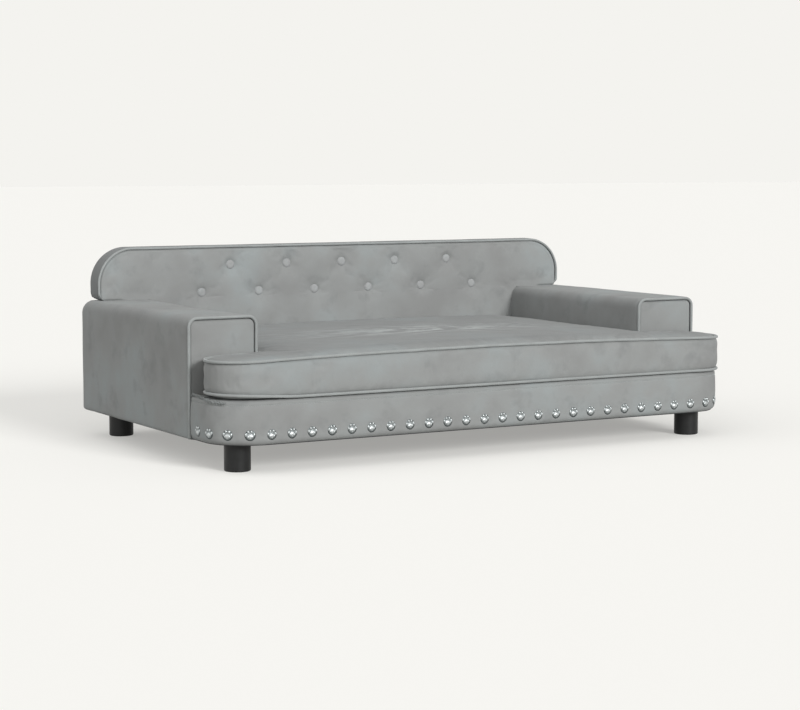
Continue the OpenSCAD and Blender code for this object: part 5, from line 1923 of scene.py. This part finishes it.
@dataclass
class Studio:
    """The floor, the light and the camera."""

    ground: str = "#f4f3ef"
    camera_at: tuple[float, float, float] = (-1.6082, -2.7845, 0.4345)
    camera_turn: tuple[float, float, float] = (84.55, 0.0, -29.80)
    lens: float = 91.63
    sky: float = 0.38
    key: tuple[float, float, float] = (0.12, -0.76, 0.29)
    fill: tuple[float, float, float] = (-0.45, -0.2, 0.27)
    glow: float = 0.34
    bounce: str = "#b4b3b0"
    floor_half: float = 30000.0

    def build_camera(self) -> None:
        """The camera at the photograph's place, with its focal length on a 36 mm sensor."""
        data = bpy.data.cameras.new("camera")
        data.lens = self.lens
        data.sensor_width = 36.0
        data.clip_end = 60.0
        camera = bpy.data.objects.new("camera", data)
        camera.location = self.camera_at
        camera.rotation_euler = [math.radians(a) for a in self.camera_turn]
        bpy.context.scene.collection.objects.link(camera)
        bpy.context.scene.camera = camera

    def seen_by(self, tree: Tree) -> Socket:
        """One for rays that show the ground's own colour: from the camera, glossy or transmitted.

        Args:
            tree: the node tree of the world or of the floor's material.

        Returns:
            The socket with the value.
        """
        rays = add_node(tree, "LightPath")
        both = add_node(tree, "Math", LARGER, i0=rays["Is Camera Ray"], i1=rays["Is Glossy Ray"])[0]
        return add_node(tree, "Math", LARGER, i0=both, i1=rays["Is Transmission Ray"])[0]

    def build_world(self) -> None:
        """A pale world whose light on the sofa is weaker than the colour that it shows."""
        world = bpy.data.worlds.new("studio")
        world.use_nodes = True
        bpy.context.scene.world = world
        tree = world.node_tree
        tree.nodes.clear()
        shown = add_node(tree, "Background", Color=linear(self.ground), Strength=1.0)[0]
        lit = add_node(tree, "Background", Color=linear("#ffffff"), Strength=self.sky)[0]
        both = add_node(tree, "MixShader", i0=self.seen_by(tree), i1=lit, i2=shown)[0]
        add_node(tree, "OutputWorld", Surface=both)

    def build_light(self) -> None:
        """Two broad suns, a key from the front right and a fill from the front left.

        Each is given by its light on faces that look along X, Y and Z, as shares of the plain
        level. On the floor the world and both suns add up to that level.
        """
        for name, share, spread in (("key", self.key, 17.0), ("fill", self.fill, 120.0)):
            towards = Vector(share)
            data = bpy.data.lights.new(name, "SUN")
            data.energy = towards.length * math.pi
            data.angle = math.radians(spread)
            lamp = bpy.data.objects.new(name, data)
            lamp.rotation_euler = (-towards).to_track_quat("-Z", "Y").to_euler()
            lamp.location = towards.normalized() * 3
            bpy.context.scene.collection.objects.link(lamp)

    def build_floor(self) -> None:
        """A plain pale floor: part of its colour shows whatever the light, the rest keeps the shadow.

        The glow makes up for what the light on the floor lacks of the plain level. To the sofa the
        floor reflects as a light grey, so that little light comes up from below.
        """
        line = np.linspace(-self.floor_half, self.floor_half, 5)
        floor = Surface("floor", xyz(line, line[:, None], -0.2)).build()
        material, add = new_material("painted studio floor")
        tree = material.node_tree
        diffuse = add("LightPath")["Is Diffuse Ray"]
        colour = add("Mix", COLOUR, i0=diffuse, i6=linear(self.ground), i7=linear(self.bounce))[2]
        finish(material, Base_Color=colour, Roughness=0.95, Specular_IOR_Level=0.0)
        lit = self.sky + self.key[2] + self.fill[2]
        strength = (1 - (1 - self.glow) * lit) / self.glow
        glow = add("Emission", Color=linear(self.ground), Strength=strength)[0]
        share = add("Math", TIMES, i0=self.seen_by(tree), i1=self.glow)[0]
        plain = tree.nodes["Principled BSDF"].outputs[0]
        both = add("MixShader", i0=share, i1=plain, i2=glow)[0]
        plug(tree, tree.nodes["Material Output"], Surface=both)
        floor.data.materials.append(material)

    def build(self) -> None:
        """Makes the stage."""
        bpy.context.scene.view_settings.view_transform = "Standard"
        self.build_camera()
        self.build_world()
        self.build_light()
        self.build_floor()


def main() -> None:
    logging.basicConfig(level=logging.INFO, format="%(name)s: %(message)s")
    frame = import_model()
    Studio().build()
    finishes = Finishes()
    m = Measures()
    Framework(finishes, frame["nodes"]).dress()
    Base(m, finishes).build()
    for side in Side:
        Arm(m, finishes, side).build()
    Backrest(m, finishes).build()
    Cushion(m, finishes).build()


if __name__ == "__main__":
    main()
